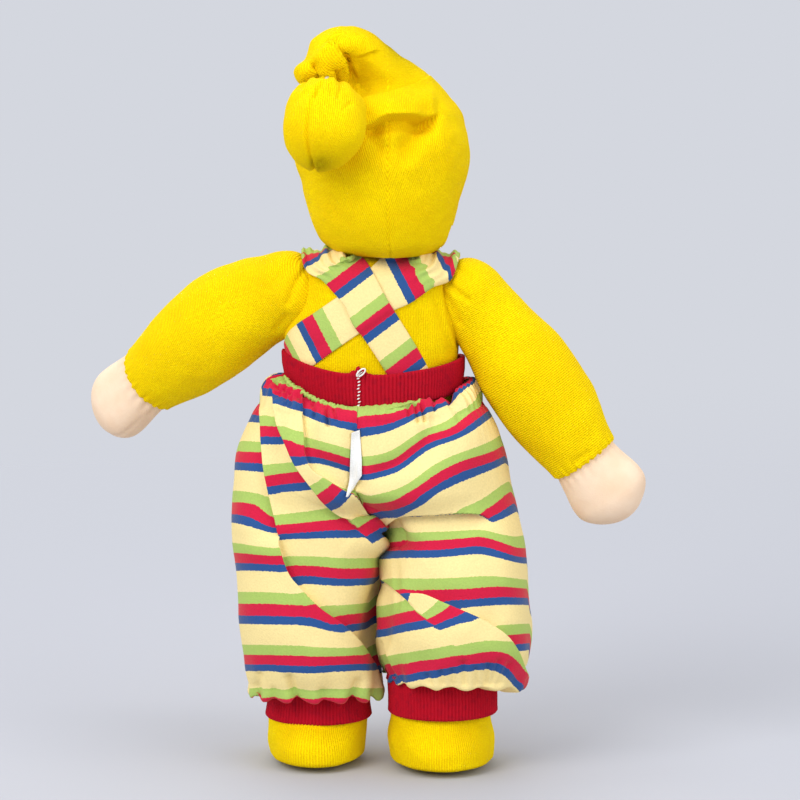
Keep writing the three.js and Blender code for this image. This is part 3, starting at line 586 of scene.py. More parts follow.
def leg(side):
    name = SIDE_NAMES[side]
    rows = []
    longer, wider, outward = FOOT[side]
    for z, width, depth, heel in LEG_ROWS:
        x, y = leg_middle(side, z)
        foot = smoothstep(28, 12, z)
        rows.append([z, width + wider * foot, depth + longer * foot,
                     x + outward * foot, y - heel + longer * foot])
    mesh = stuffed(f"{name}_leg_cover", {
        "rows": rows, "low": 0.0, "high": hip_height + HIP_BALL, "low_round": 4.5, "low_power": 2.2,
        "high_round": HIP_BALL})
    places = points_of(mesh)
    uneven = lumps(places, 18, 1.0, 15 + side) + lumps(places, 7, 0.4, 17 + side)
    swell(mesh, uneven * smoothstep(0, 6, places[:, 2]))
    core(mesh, f"{name}_leg_core", f"{name}_leg", f"{name}_leg_wool", COVER)
    middle_x, middle_y = leg_middle(side, places[:, 2])
    set_wales(mesh, LEG_RADIUS * np.abs(np.arctan2(places[:, 0] - middle_x, places[:, 1] - middle_y)))
    cover = finish_piece(mesh, f"{name}_leg_cover", f"{name}_leg", "yellow_terry", f"{name}_leg_skin")


def grid(name, around, rings):
    """A grid mesh, with the shares u and v of its sides at each vertex."""
    bm = bmesh.new()
    bmesh.ops.create_grid(bm, x_segments=around, y_segments=rings, size=0.5)
    mesh = mesh_from(bm, name)
    flat = points_of(mesh)
    return mesh, flat[:, 0] + 0.5, flat[:, 1] + 0.5


def closed_seams(mesh, distance=0.02):
    """Joins the vertices that meet where a grid closes on itself."""
    bm = bmesh.new()
    bm.from_mesh(mesh)
    bmesh.ops.remove_doubles(bm, verts=bm.verts, dist=distance)
    bmesh.ops.recalc_face_normals(bm, faces=bm.faces)
    bm.to_mesh(mesh)
    bm.free()
    return mesh


def smooth_line(points, count=56):
    """A smooth line through points, as that many points."""
    table = np.array(points, float)
    steps = np.concatenate([[0], np.cumsum(np.linalg.norm(np.diff(table, axis=0), axis=1))])
    knots = [[step, *point] for step, point in zip(steps, table)]
    return rows_at(knots, np.linspace(0, steps[-1], count))


def beside(spots, line):
    """For spots of the picture: how far each is from a line, its share along it, and the line's sideways
    direction. The distance is more than 0 on the right of a line that runs down, and above one that runs to
    the right."""
    starts, runs = line[:-1], np.diff(line, axis=0)
    lengths = np.linalg.norm(runs, axis=1)
    best = np.full(len(spots), 1e9)
    signed, share, chosen = np.zeros(len(spots)), np.zeros(len(spots)), np.zeros(len(spots), int)
    for n, (start, run, length) in enumerate(zip(starts, runs, lengths)):
        offset = spots - start
        along = np.clip(offset @ run / length**2, 0, 1)
        distance = np.linalg.norm(offset - along[:, None] * run, axis=1)
        nearer = distance < best - 1e-9
        cross = run[1] * offset[:, 0] - run[0] * offset[:, 1]
        best = np.where(nearer, distance, best)
        signed = np.where(nearer, np.where(cross < 0, -distance, distance), signed)
        share = np.where(nearer, (n + along) / len(runs), share)
        chosen = np.where(nearer, n, chosen)
    across = np.stack([runs[:, 1], -runs[:, 0]], axis=1) / lengths[:, None]
    return signed, share, across[chosen]


def distance_to(spots, line, count):
    """How far spots of the picture lie from a line of the photo, in millimetres at the doll."""
    return beside(spots, smooth_line(line, count))[0] * PIXEL


PLATE_UNIT = 100  # pixels
PLATE_SOFTNESS = 2e-4  # how loosely the field is held to its points


def thin_plate(points):
    """A smooth field over the picture from rows of [pixel across, pixel down, value]."""
    table = np.array(points, float)
    spots, trend = table[:, :2], STRIPE_PITCH * table[:, 1]

    def kernel(squared):
        return squared * np.log(squared + 1e-9) / 2

    apart = ((spots[:, None] - spots[None]) ** 2).sum(2) / PLATE_UNIT**2
    between = kernel(apart) + PLATE_SOFTNESS * np.eye(len(spots))
    flat = np.hstack([np.ones((len(spots), 1)), spots / PLATE_UNIT])
    system = np.block([[between, flat], [flat.T, np.zeros((3, 3))]])
    found = np.linalg.solve(system, np.concatenate([table[:, 2] - trend, np.zeros(3)]))

    def field(where):
        squared = ((where[:, None] - spots[None]) ** 2).sum(2) / PLATE_UNIT**2
        return (STRIPE_PITCH * where[:, 1] + kernel(squared) @ found[:len(spots)]
                + found[len(spots)] + where / PLATE_UNIT @ found[len(spots) + 1:])

    return field


RIB_PITCH = 1.55
RIB_DEPTH = 0.5


def rib_band(name, low, high, section, thickness):
    """A tube of rib knit between two heights. section gives its middle and half sizes at each height."""
    girth = 2 * math.pi * float(np.mean(section(np.array([(low + high) / 2]))[0][:2]))
    ribs = round(girth / RIB_PITCH)
    mesh, u, v = grid(name, ribs * 4 + 1, 41)
    # v runs up the outside, over the top edge and down the inside
    outside = v < 0.5
    up = np.where(outside, v * 2, (1 - v) * 2)
    z = low + (high - low) * up
    sizes = section(z)
    turn = 2 * math.pi * u
    edge = 1 - np.minimum(np.minimum(up, 1 - up) * (high - low) / (thickness * 0.7), 1)
    to_middle = np.where(outside, -1, 1)
    layer = np.where(outside, thickness, 0.0) + to_middle * (1 - np.sqrt(1 - edge**2)) * thickness / 2
    rib = RIB_DEPTH * np.cos(ribs * turn) * np.where(outside, 1.0, 0.3)
    out = layer + rib
    places = np.stack([sizes[:, 2] + np.sin(turn) * (sizes[:, 0] + out),
                       sizes[:, 3] - np.cos(turn) * (sizes[:, 1] + out), z], axis=1)
    set_points(mesh, places)
    return closed_seams(mesh)


WAISTBAND_LOW = 177.5
WAISTBAND_TOP = 194
WAISTBAND_SLACK = 2.6
RIB_THICK = 2.0
SEAM_X = 9.4  # where the seam of the waistband lies, at the back


def waistband():
    """The waistband: it rises at the sides, and its seam at the back draws its top edge up into a ruffle."""
    def section(z):
        sizes = rows_at(TORSO["rows"], np.minimum(z, 187))
        return np.stack([sizes[:, 0] + WAISTBAND_SLACK - 0.2, sizes[:, 1] + WAISTBAND_SLACK,
                         sizes[:, 2] - 0.6, sizes[:, 3]], axis=1)

    mesh = rib_band("waistband_rib", WAISTBAND_LOW, WAISTBAND_TOP, section, RIB_THICK)
    places = points_of(mesh)
    places[:, 2] += waist_lift(places[:, 0]) * 0.75
    near_top = smoothstep(WAISTBAND_TOP - 5, WAISTBAND_TOP, places[:, 2])
    at_seam = bump(places[:, 0] - SEAM_X + 0.3, 4.2) ** 1.5 * (places[:, 1] > 0) * near_top
    places[:, 2] += at_seam * (3.4 + 0.9 * np.sin(places[:, 0] * 2.1) + 0.6 * np.sin(places[:, 0] * 5))
    places[:, 1] += at_seam * (0.8 + 0.8 * np.sin(places[:, 0] * 2.7 + 1))
    set_points(mesh, places)
    swell(mesh, lumps(places, 20, 0.6, 21))
    finish_piece(mesh, "waistband_rib", "torso", "red_rib", "waistband")


CUFF_LOW = {1: 21.9, -1: 26.6}
CUFF_HEIGHT = 16
CUFF_HIDDEN = 3.5  # how much of the cuff goes on above the hem
CUFF_HALF = 22.6
CUFF_WIDER = {1: 0.0, -1: 1.4}


def cuff(side):
    name = SIDE_NAMES[side]

    def section(z):
        x, y = leg_middle(side, z)
        half = CUFF_HALF + 1.2 * smoothstep(30, 20, z)
        wider = CUFF_WIDER[side]
        return np.stack([half + wider, half + wider / 2, x - wider * 0.9, y], axis=1)

    low = CUFF_LOW[side]
    mesh = rib_band(f"{name}_cuff_rib", low, low + CUFF_HEIGHT + CUFF_HIDDEN, section, RIB_THICK)
    finish_piece(mesh, f"{name}_cuff_rib", f"{name}_leg", "red_rib", f"{name}_cuff")


# The dungarees. The folds' lines and the stripes' places are in pixels of the photo.
CROTCH = 121
SEAM_TOP = 179.0
SHOULDER_LEVEL = 172.0  # where the trousers are as wide as they hang, below the gathers
BAND_HALF = (43.2, 33.0)
# how far out each half reaches, and how deep the seat and the legs are: [height, millimetres]
OUTER = {
    1: [[36, 62.5], [44, 65], [55, 66], [80, 68.5], [115, 70], [137, 69], [157, 66.5], [167, 62.5], [172, 60],
        [176, 57]],
    -1: [[38, 66], [47, 72], [55, 74], [80, 72.5], [115, 69.5], [137, 63.5], [157, 59.5], [167, 56],
         [172, 53], [176, 50]],
}
DEPTH_SEAT = [[100, 36], [125, 38], [150, 41], [165, 40], [172, 38.5], [178, 36]]
DEPTH_LEG = {
    1: [[38, 32], [50, 36], [62, 37], [90, 35.5], [125, 35], [180, 35]],
    -1: [[38, 32], [50, 36], [66, 39], [90, 37], [125, 35], [180, 35]],
}
SEAM_LINE = [(359, 300), (358, 410), (358, 470), (358.5, 496), (363, 504), (373, 516), (384, 529), (384, 700)]
# where the legs meet behind: pixels down, and how far it lies to the doll's left of the midline
LEGS_MEET = [[530, -2.4], [545, -1.9], [580, -1.0], [600, 1.9], [625, 2.9], [641, 3.6], [655, 2.4],
             [669, 0.5], [691, -2.4], [706, -2.8]]

# Each lap is a line where one panel of the cloth lies over another. over is 1 where the panel in front is on
# the line's right, or above it, and -1 where it is on the other side. Then how deep the step is, how far
# it swells the panel in front, how far the one behind stays low, and how far the edge hangs over, all in
# millimetres, and over which shares at the line's ends the lap dies away.
LAPS = (
    dict(line=[(259, 396), (261, 425), (263, 455), (269, 491), (275, 517), (281, 545)], over=1,
         depth=3.6, front=9, behind=7, edge=1.3),
    dict(line=[(276, 528), (281, 552), (290, 576), (302, 590), (318, 607), (342, 626), (363, 650), (377, 671),
               (386, 690)], over=-1, depth=5.0, front=16, behind=12, edge=1.6, ends=(0.12, 0.0)),
    dict(line=[(271, 384), (275, 400), (279, 423), (287, 442), (297, 464), (310, 482), (320, 495), (342, 516),
               (361, 534)], over=1, depth=3.6, front=4.5, behind=8, edge=1.2, ends=(0.08, 0.05)),
    dict(line=[(302, 384), (303, 405), (305, 435), (307, 455), (313, 468), (326, 477), (346, 491), (361, 503),
               (371, 515), (384, 530)], over=-1, depth=3.6, front=4.5, behind=8, edge=1.2, ends=(0.05, 0.0)),
    dict(line=[(380, 535), (386, 523), (395, 515), (414, 510), (434, 509), (465, 511), (481, 515),
               (497, 525)], over=1, depth=5.6, front=16, behind=9, edge=2.2, ends=(0.02, 0.25)),
    dict(line=[(379, 579), (389, 586), (404, 597), (418, 610)], over=1,
         depth=1.8, front=4, behind=6, edge=0.6, ends=(0.05, 0.4)),
    dict(line=[(403, 592), (424, 595), (444, 604), (465, 613), (485, 623), (506, 638), (516, 652), (524, 671),
               (531, 686)], over=-1, depth=4.4, front=16, behind=12, edge=1.6, ends=(0.14, 0.0)),
    dict(line=[(374, 636), (383, 652), (393, 671), (406, 686)], over=1,
         depth=2.4, front=8, behind=6, edge=0.8, ends=(0.3, 0.0)),
    dict(line=[(358, 440), (357, 470), (355, 500)], over=1, depth=1.6, front=6, behind=5, edge=0.5,
         ends=(0.4, 0.1)),
)

# Soft rises and hollows of the cloth: a line of the photo, how wide and how high each is, in millimetres
SWELLS = (
    ([(443, 398), (436, 425), (425, 448), (405, 462), (382, 472)], 5.0, -2.6),
    ([(470, 425), (455, 462), (430, 490)], 12.0, 2.6),
    ([(325, 425), (335, 455)], 9.0, 1.6),
    ([(357, 440), (357, 470), (356, 505)], 4.5, -3.0),
    ([(321, 462), (345, 472), (356, 486)], 4.0, -1.8),
    ([(290, 410), (294, 440), (312, 470), (340, 498), (368, 525)], 4.5, 1.8),
    ([(447, 384), (452, 402), (459, 420)], 2.4, -2.2),
    ([(478, 380), (481, 402)], 2.2, -1.6),
    ([(391, 530), (398, 538)], 4.0, -2.6),
    ([(276, 455), (284, 500), (290, 530)], 6.0, -2.0),
    ([(335, 560), (338, 600)], 12.0, 1.8),
    ([(470, 630), (490, 655)], 8.0, 2.0),
    ([(383, 590), (383, 640)], 5.0, -2.0),
    ([(430, 560), (470, 575)], 16.0, 1.6),
    ([(285, 625), (310, 660)], 16.0, 2.2),
    ([(420, 630), (450, 650)], 13.0, 2.4),
    ([(250, 470), (245, 540)], 9.0, 1.5),
    ([(505, 560), (512, 620)], 7.0, 1.2),
)

# The pleats that the waistband draws in
WAIST_PLEATS = (
    ([(276, 380), (280, 396)], 1.0, -2.6), ([(284, 389), (287, 405)], 0.9, -2.5),
    ([(290, 393), (292, 406)], 0.9, -2.2), ([(298, 397), (301, 412)], 0.9, -2.5),
    ([(313, 403), (314, 416)], 0.9, -1.9), ([(326, 408), (328, 425)], 1.0, -2.8),
    ([(334, 410), (336, 420)], 0.8, -1.7), ([(408, 405), (409, 416)], 0.8, -1.7),
    ([(415, 403), (418, 421)], 0.9, -2.7), ([(421, 402), (425, 420)], 0.9, -2.7),
    ([(433, 396), (436, 408)], 0.9, -2.2), ([(448, 388), (455, 406)], 1.4, -2.2),
)

# The gathers that the hem's elastic draws in: short valleys that run up from the hem
HEM_VALLEYS = (
    ([(259, 676), (256, 706)], 1.9, -2.2), ([(290, 678), (299, 708)], 2.2, -2.8),
    ([(322, 690), (324, 708)], 1.8, -1.2), ([(357, 682), (349, 708)], 2.0, -2.4),
    ([(371, 692), (374, 706)], 1.6, -1.6), ([(274, 690), (272, 706)], 1.6, -1.0),
    ([(428, 676), (431, 692)], 1.4, -1.3), ([(441, 672), (443, 690)], 1.5, -1.5),
    ([(452, 670), (454, 688)], 1.3, -1.2), ([(463, 662), (465, 687)], 1.7, -1.9),
    ([(475, 668), (476, 686)], 1.2, -1.2), ([(487, 664), (486, 685)], 1.6, -1.7),
    ([(497, 660), (492, 684)], 1.5, -1.5), ([(507, 664), (498, 686)], 1.8, -1.6),
)


def band(turn):
    """The place of a red stripe's upper edge in the cloth, for the band that it is counted from the waist."""
    return STRIPE_PERIOD * turn + GREEN_END


def stripe_field(*bands):
    """A field of the stripes from the places where the upper edge of each red band shows in the photo."""
    return thin_plate([(across, down, band(turn)) for turn, spots in bands for across, down in spots])


OUTER_LEFT = stripe_field(
    (1, [(251, 403), (259, 404)]), (2, [(242, 452), (262, 453)]), (3, [(233, 503), (255, 505), (273, 519)]),
    (4, [(233, 553), (252, 554), (283, 556)]),
    (5, [(240, 604), (275, 604), (300, 605), (320, 607), (336, 616)]),
    (6, [(241, 655), (300, 655), (350, 655), (366, 656)]), (7, [(240, 697), (300, 699), (370, 698)]))
MIDDLE_LEFT = stripe_field(
    (0, [(268, 378), (280, 380)]), (1, [(262, 426), (280, 427)]), (2, [(268, 476), (285, 474), (304, 472)]),
    (3, [(279, 525), (305, 523), (335, 520)]), (4, [(290, 567), (320, 567), (350, 569), (375, 568)]),
    (5, [(330, 617), (350, 615), (370, 613)]), (6, [(372, 660), (384, 656)]))
ROLL_LEFT = stripe_field(
    (0, [(279, 383), (290, 388), (300, 393)]), (1, [(284, 438), (294, 442), (304, 446)]),
    (2, [(315, 495), (327, 488), (337, 481)]), (3, [(357, 529), (367, 524), (377, 519)]))
CENTRE_LEFT = stripe_field(
    (0, [(306, 394), (320, 402), (335, 409), (355, 412)]),
    (1, [(307, 447), (320, 450), (335, 454), (357, 462)]),
    (2, [(335, 492), (345, 497), (357, 503)]))
SEAT_RIGHT = stripe_field(
    (0, [(361, 417), (395, 412), (423, 399), (430, 394), (445, 388), (456, 380)]),
    (1, [(361, 467), (395, 459), (430, 435), (449, 429), (468, 415), (484, 403), (492, 394)]),
    (2, [(368, 504), (395, 497), (430, 476), (462, 460), (485, 454), (500, 448)]),
    (3, [(383, 548), (430, 524), (460, 518), (481, 512), (494, 505), (510, 493)]),
    (4, [(500, 546), (518, 546)]))
LEG_RIGHT = stripe_field(
    (3, [(395, 505), (500, 503), (510, 493)]),
    (4, [(383, 543), (404, 542), (430, 541), (468, 538), (481, 537), (500, 542), (518, 548)]),
    (5, [(383, 590), (424, 590), (437, 590), (469, 589), (500, 587), (516, 588)]),
    (6, [(440, 637), (500, 636), (516, 635), (526, 634)]), (7, [(500, 682), (516, 681), (527, 680)]))
LOW_RIGHT = stripe_field(
    (6, [(375, 618), (383, 617), (404, 613), (437, 607), (455, 603), (490, 604)]),
    (7, [(383, 668), (393, 666), (437, 658), (470, 652), (502, 652), (515, 662), (524, 676), (532, 686)]),
    (8, [(400, 713), (450, 706), (500, 704)]))
FRONT_STRIPES = {1: 404.0, -1: 398.0}  # where the front's first red band would show

# The edges between the panels that have a field of their own
OUTER_PANEL_EDGE = ((257, 330), (259, 396), (261, 425), (263, 455), (269, 491), (276, 528), (287, 571),
                    (302, 590), (318, 607), (342, 626), (363, 650), (377, 671), (390, 705))
ROLL_OUTER_EDGE = ((266, 340), (271, 384), (275, 400), (279, 423), (287, 442), (297, 464), (310, 482),
                   (320, 495), (342, 516), (361, 534), (373, 545))
ROLL_INNER_EDGE = ((302, 330), (302, 384), (303, 405), (305, 435), (307, 455), (313, 468), (326, 477),
                   (346, 491), (361, 503), (371, 515), (384, 530), (392, 538))
SEAT_EDGE = ((360, 560), (381, 534), (386, 523), (395, 515), (414, 510), (434, 509), (465, 511), (481, 515),
             (497, 525), (540, 540))
LOW_PANEL_EDGE = ((355, 560), (379, 579), (389, 586), (403, 592), (424, 595), (444, 604), (465, 613),
                  (485, 623), (506, 638), (516, 652), (524, 671), (531, 686), (540, 715))
TONGUE_EDGE = ((379, 579), (389, 586), (404, 597), (418, 610))
TONGUE_SHIFT = 11.3  # how far the stripes are out of step across the tongue's edge

FOLD_HALF = 1.0  # half the width of the cloth that turns under at a lap
LAP_ENDS = (0.1, 0.1)  # the shares over which a lap dies away where it says nothing else


def laid(spots, lap):
    """What a lap does at spots of the picture: how far out the cloth stands, how far it slides, and where."""
    away, share, across = beside(spots, smooth_line(lap["line"]))
    behind = -lap["over"] * away * PIXEL
    start, end = lap.get("ends", LAP_ENDS)
    strength = np.ones_like(share)
    if start:
        strength = strength * smoothstep(0, start, share)
    if end:
        strength = strength * smoothstep(1, 1 - end, share)
    half = lap["depth"] / 2
    rise = np.where(behind < 0, np.exp(behind / lap["front"]), np.exp(-behind / lap["behind"]))
    out = -half * rise * np.tanh((behind - 0.15) / 0.45)
    bend = behind / FOLD_HALF
    slide = -lap["edge"] * bend * np.exp((1 - bend**2) / 2)
    return out * strength, slide * strength, -lap["over"] * across


def draped(places, normals, laps, swells, share):
    """How far laps and swells move points of a cloth, each by its share."""
    spots = in_picture(places)
    moved = np.zeros_like(places)
    for lap in laps:
        out, slide, across = laid(spots, lap)
        sideways = np.stack([-across[:, 0], np.zeros(len(places)), -across[:, 1]], axis=1)
        sideways -= (sideways * normals).sum(1)[:, None] * normals
        moved += (normals * out[:, None] + sideways * slide[:, None]) * share[:, None]
    for line, width, height in swells:
        moved += normals * (height * bump(distance_to(spots, line, 30), width) * share)[:, None]
    return moved


def stripes_left(spots):
    """The stripe coordinate of the left half at spots of the picture."""
    across_outer = beside(spots, smooth_line(OUTER_PANEL_EDGE))[0]
    across_roll = beside(spots, smooth_line(ROLL_OUTER_EDGE))[0]
    across_centre = beside(spots, smooth_line(ROLL_INNER_EDGE))[0]
    in_roll = (across_roll > 0) & (across_centre < 0) & (spots[:, 1] - spots[:, 0] * 0.6 < 330)
    stripe = np.where(in_roll, ROLL_LEFT(spots), MIDDLE_LEFT(spots))
    stripe = np.where((across_centre >= 0) & (spots[:, 1] < 535), CENTRE_LEFT(spots), stripe)
    return np.where(across_outer < 0, OUTER_LEFT(spots), stripe)


def stripes_right(spots):
    """The stripe coordinate of the right half. At its outer edge the seat's stripes run on into the leg's."""
    above_seat_edge = beside(spots, smooth_line(SEAT_EDGE))[0]
    tongue = beside(spots, smooth_line(TONGUE_EDGE))[0]
    lower = LOW_RIGHT(spots) - TONGUE_SHIFT * (tongue > 0) * np.exp(-np.maximum(tongue, 0) * PIXEL / 9)
    seat, leg_part = SEAT_RIGHT(spots), LEG_RIGHT(spots)
    near = np.clip(above_seat_edge / 24 + 0.5, 0, 1)
    blended = near * seat + (1 - near) * leg_part
    fade = smoothstep(484, 512, spots[:, 0])
    stripe = (1 - fade) * np.where(above_seat_edge > 0, seat, leg_part) + fade * blended
    return np.where(beside(spots, smooth_line(LOW_PANEL_EDGE))[0] < 0, lower, stripe)


def waist_lift(x):
    """How much higher the waistband's lower edge runs at the sides than at the middle of the back."""
    return np.where(x > 0, 11.0 * (np.abs(x) / 46) ** 2.4, 7.0 * (np.abs(x) / 40) ** 1.6)


TROUSER_TREE = {}  # what the label lies on, in midline millimetres


LEG_CLEAR = (22.6, 22.0)  # the half width and depth that the trousers keep free, round a leg and the body
BODY_CLEAR = (41.5, 27.0)


def clear_of_body(places, side):
    """The trousers' points kept just outside the leg and the body that they hang over."""
    kept = places.copy()
    for middle_x, middle_y, half_x, half_y, strength in (
            (*leg_middle(side, places[:, 2]), *LEG_CLEAR, smoothstep(152, 140, places[:, 2])),
            (0.0, 0.0, *BODY_CLEAR, smoothstep(118, 134, places[:, 2]))):
        across, along = (kept[:, 0] - middle_x) / half_x, (kept[:, 1] - middle_y) / half_y
        reach = np.maximum(np.hypot(across, along), 1e-6)
        push = np.where(reach < 1, 1 / reach - 1, 0) * strength
        kept[:, 0] += across * half_x * push
        kept[:, 1] += along * half_y * push
    return kept


TROUSER_GRID = (330, 288)
TOP_SHARE = 0.06  # the cloth's share from the waist that is gathered over the waistband
HEM_SHARE = 0.93  # and its share from which it curls under to the cuff
CORNER = 0.86  # how square the seat's form is: 1 is an ellipse
SEAT_WIDTH = 46
TUCKED_HALF = 24.6
CUFF_FACE = 42.0  # the height at which the tucked hem's middle is taken


def blouse_low(side, u):
    """The lowest line of the blouse, which hangs deeper outside than over the heel, and how far it curls."""
    outermost, inmost = bump(u - 0.5, 0.14), bump(u - 1, 0.1)
    if side == 1:
        return 35.8 - 3.2 * outermost - 2.0 * inmost, 6.0
    return 45.2 - 7.5 * outermost - 3.0 * inmost, 2.5 + 4.5 * outermost


def seat_and_leg(side, u, z):
    """Where a half's cloth runs at the heights z, round the seat above and round the leg below, and the share
    of the leg."""
    hip_side, hip_back = np.sin(math.pi * u), -np.cos(math.pi * u)
    outer = rows_at(OUTER[side], z)[:, 0]
    share = (hip_height - z) / hip_height
    lag = STRIDE[side] * np.clip(share, 0, 1)
    seat_x = side * outer * np.abs(hip_side) ** CORNER
    seat_y = rows_at(DEPTH_SEAT, z)[:, 0] * np.sign(hip_back) * np.abs(hip_back) ** CORNER
    inner = 0.1
    half = (outer - inner) / 2
    whole = 2 * math.pi * u
    leg_depth = rows_at(DEPTH_LEG[side], z)[:, 0]
    leg_x = side * (inner + half - half * np.sign(np.cos(whole)) * np.abs(np.cos(whole)) ** 0.8)
    leg_y = lag - leg_depth * np.sign(np.sin(whole)) * np.abs(np.sin(whole)) ** 0.85
    in_leg = smoothstep(CROTCH + 18, CROTCH - 6, z)
    return (1 - in_leg) * seat_x + in_leg * leg_x, (1 - in_leg) * seat_y + in_leg * leg_y, in_leg


def trouser_form(side, u, v):
    """A half's points before its folds, with what its folds go by."""
    top = np.clip(v / TOP_SHARE, 0, 1)
    wall = np.clip((v - TOP_SHARE) / (HEM_SHARE - TOP_SHARE), 0, 1)
    hem = np.clip((v - HEM_SHARE) / (1 - HEM_SHARE), 0, 1)
    hip_side, hip_back = np.sin(math.pi * u), -np.cos(math.pi * u)
    low, curl = blouse_low(side, u)
    start = SHOULDER_LEVEL + waist_lift(side * SEAT_WIDTH * hip_side) * 0.5
    z = start + (low + curl - start) * wall
    x, y, in_leg = seat_and_leg(side, u, z)
    # the top edge is drawn in to the waistband, and the gathered cloth puffs up over it at the sides
    inward = 1 - np.sin(top * math.pi / 2)
    band_x = side * BAND_HALF[0] * hip_side
    band_y = BAND_HALF[1] * hip_back
    seam_z = SEAM_TOP + waist_lift(band_x)
    puff = (4.5 if side == 1 else 3.5) * np.abs(hip_side) ** 2 + 0.8
    x = (1 - inward) * x + inward * band_x
    y = (1 - inward) * y + inward * band_y
    z = np.where(top < 1, seam_z * (1 - top) + start * top + puff * np.sin(math.pi * top) ** 0.8, z)
    # the hem curls under to the cuff
    whole = 2 * math.pi * u
    tuck = smoothstep(0.12, 1.05, hem) ** 1.25
    ankle_x, ankle_y = leg_middle(side, np.full_like(z, CUFF_FACE))
    x = (1 - tuck) * x + tuck * (ankle_x - side * TUCKED_HALF * np.cos(whole))
    y = (1 - tuck) * y + tuck * (ankle_y - TUCKED_HALF * np.sin(whole))
    rise = CUFF_LOW[side] + CUFF_HEIGHT + 1.5
    sunk = low + curl * (1 - np.sin(np.minimum(hem * 2.6, 1) * math.pi / 2))
    z = np.where(hem > 0, sunk + np.maximum(rise - low, 0) * smoothstep(0.6, 1, hem), z)
    places = np.stack([x, y, z], axis=1)
    # the seam at the middle of the back runs to the doll's left of the midline
    back = smoothstep(-4, 8, y)
    down = in_picture(places)[:, 1]
    seam = smooth_line(SEAM_LINE, 120)
    seam_x = (MIDLINE_PIXEL - np.interp(down, seam[:, 1], seam[:, 0])) * PIXEL
    above_legs = 1 - in_leg * smoothstep(540, 560, down)
    places[:, 0] += seam_x * (1 - smoothstep(0, 34, np.abs(x))) * back * above_legs
    meet = rows_at(LEGS_MEET, down)[:, 0] * smoothstep(-10, 10, y) + 1.3 * np.sin(y / 7)
    if side == -1:
        meet = meet - 3.6 * smoothstep(655, 682, down)
    places[:, 0] += meet * (1 - smoothstep(0, 26, np.abs(x))) * in_leg * smoothstep(528, 545, down)
    return places, dict(top=top, hem=hem, low=low, back=back, seam_x=seam_x, seam_z=seam_z)


def gathers(side, places, form):
    """How far the waist's and the hem's elastic, and the cloth's own softness, move the points in or out."""
    top, hem, low, back, z = form["top"], form["hem"], form["low"], form["back"], places[:, 2]
    # gathers under the waistband, drawn in by the elastic at no even pitch
    round_waist = 62 * np.arctan2(places[:, 0] * 0.8, places[:, 1])
    sway = 2.2 * np.sin(round_waist / 13.0 + side) + 1.3 * np.sin(round_waist / 5.1)
    draw = 0.5 + 0.5 * bump(np.abs(places[:, 0]) - 36, 18)
    below = np.maximum(form["seam_z"] - z, 0) + 6 * (1 - top)
    at_waist = (0.5 * np.sin((round_waist + sway) / 0.62) * np.exp(-below / 4.5)
                + 0.9 * np.sin((round_waist + sway) / 1.25 + 1) * np.exp(-below / 9.0)) * draw
    hem_near = np.exp(-np.maximum(z - low - 2, 0) / 7.0) * (1 - back)
    ankle_x, ankle_y = leg_middle(side, np.full_like(z, CUFF_FACE))
    round_hem = 46 * np.arctan2(places[:, 0] - ankle_x, places[:, 1] - ankle_y)
    at_hem = 1.1 * np.sin(round_hem / 1.15 + 2 * np.sin(round_hem / 9)) * hem_near
    sag = 1.6 * np.sin(round_hem / 2.9 + 0.8) * np.exp(-np.maximum(z - low, 0) / 12.0)
    soft = lumps(places, 26, 2.2, 51 + side) + lumps(places, 10, 0.7, 53 + side)
    off_seam = smoothstep(0.3, 3.0, np.abs(places[:, 0] - form["seam_x"] * back))
    calm = smoothstep(0, 0.5, top) * (1 - hem) * off_seam
    return at_waist + at_hem + sag * 0.6 + soft * calm * 0.6


def stripes_of_half(side, places, form):
    """The stripe coordinate of a half: from the photo behind, and in level bands in front."""
    spots, back, top = in_picture(places), form["back"], form["top"]
    behind = stripes_left(spots) if side == 1 else stripes_right(spots)
    front = np.clip((spots[:, 1] - FRONT_STRIPES[side]) * STRIPE_PITCH + band(1), 0, None)
    stripe = back * behind + (1 - back) * front
    return np.where(top < 1, np.minimum(stripe, GREEN_END + 0.8 + 26 * top), stripe)


def trouser_half(side):
    name = SIDE_NAMES[side]
    mesh, u, v = grid(f"trousers_{name}", *TROUSER_GRID)
    u = u * (1.45 - 0.45 * u)  # the columns lie closer at the back
    places, form = trouser_form(side, u, v)
    set_points(mesh, places)
    normals = normals_of(mesh)
    normals *= np.sign(np.sum(normals[:, 0] * side * (u > 0.35) * (u < 0.65)))
    stripe = stripes_of_half(side, places, form)
    in_folds = form["back"] * (1 - 0.8 * smoothstep(0, 0.3, form["hem"])) if side == -1 else form["back"]
    places = places + normals * gathers(side, places, form)[:, None]
    places = places + draped(places, normals, LAPS, SWELLS + WAIST_PLEATS + HEM_VALLEYS, in_folds)
    set_points(mesh, clear_of_body(places, side))
    set_layer(mesh, "stripe", stripe)
    mesh = closed_seams(mesh)
    TROUSER_TREE[side] = tree_of(mesh)
    piece = finish_piece(mesh, f"trousers_{name}", None, "striped_jersey", f"trouser_{name}")
    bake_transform(piece)


HEAD_X = -3
HEAD = {
    "rows": [[249.5, 25.5, 26], [261.5, 31.5, 33], [278, 36, 37.5], [294, 37.5, 39], [308, 37, 38.5],
             [331.5, 29.5, 31]],
    "low": 249.5, "high": 331.5, "low_round": 8, "high_round": 26,
}
FACE_HALF = (29, 31)
FACE_MIDDLE = 284
HOOD_HEM = 248.2
HEAD_PIXEL = 385.25  # the pixel across of the head's middle
UNDER_FLAP = ((366, 124), (400, 124), (440, 124))  # where the hood's flap presses the head in


def from_face(places):
    """How far points lie from the middle of the face: 1 is the hood's edge."""
    return np.hypot((places[:, 0] - HEAD_X) / FACE_HALF[0], (places[:, 2] - FACE_MIDDLE) / FACE_HALF[1])


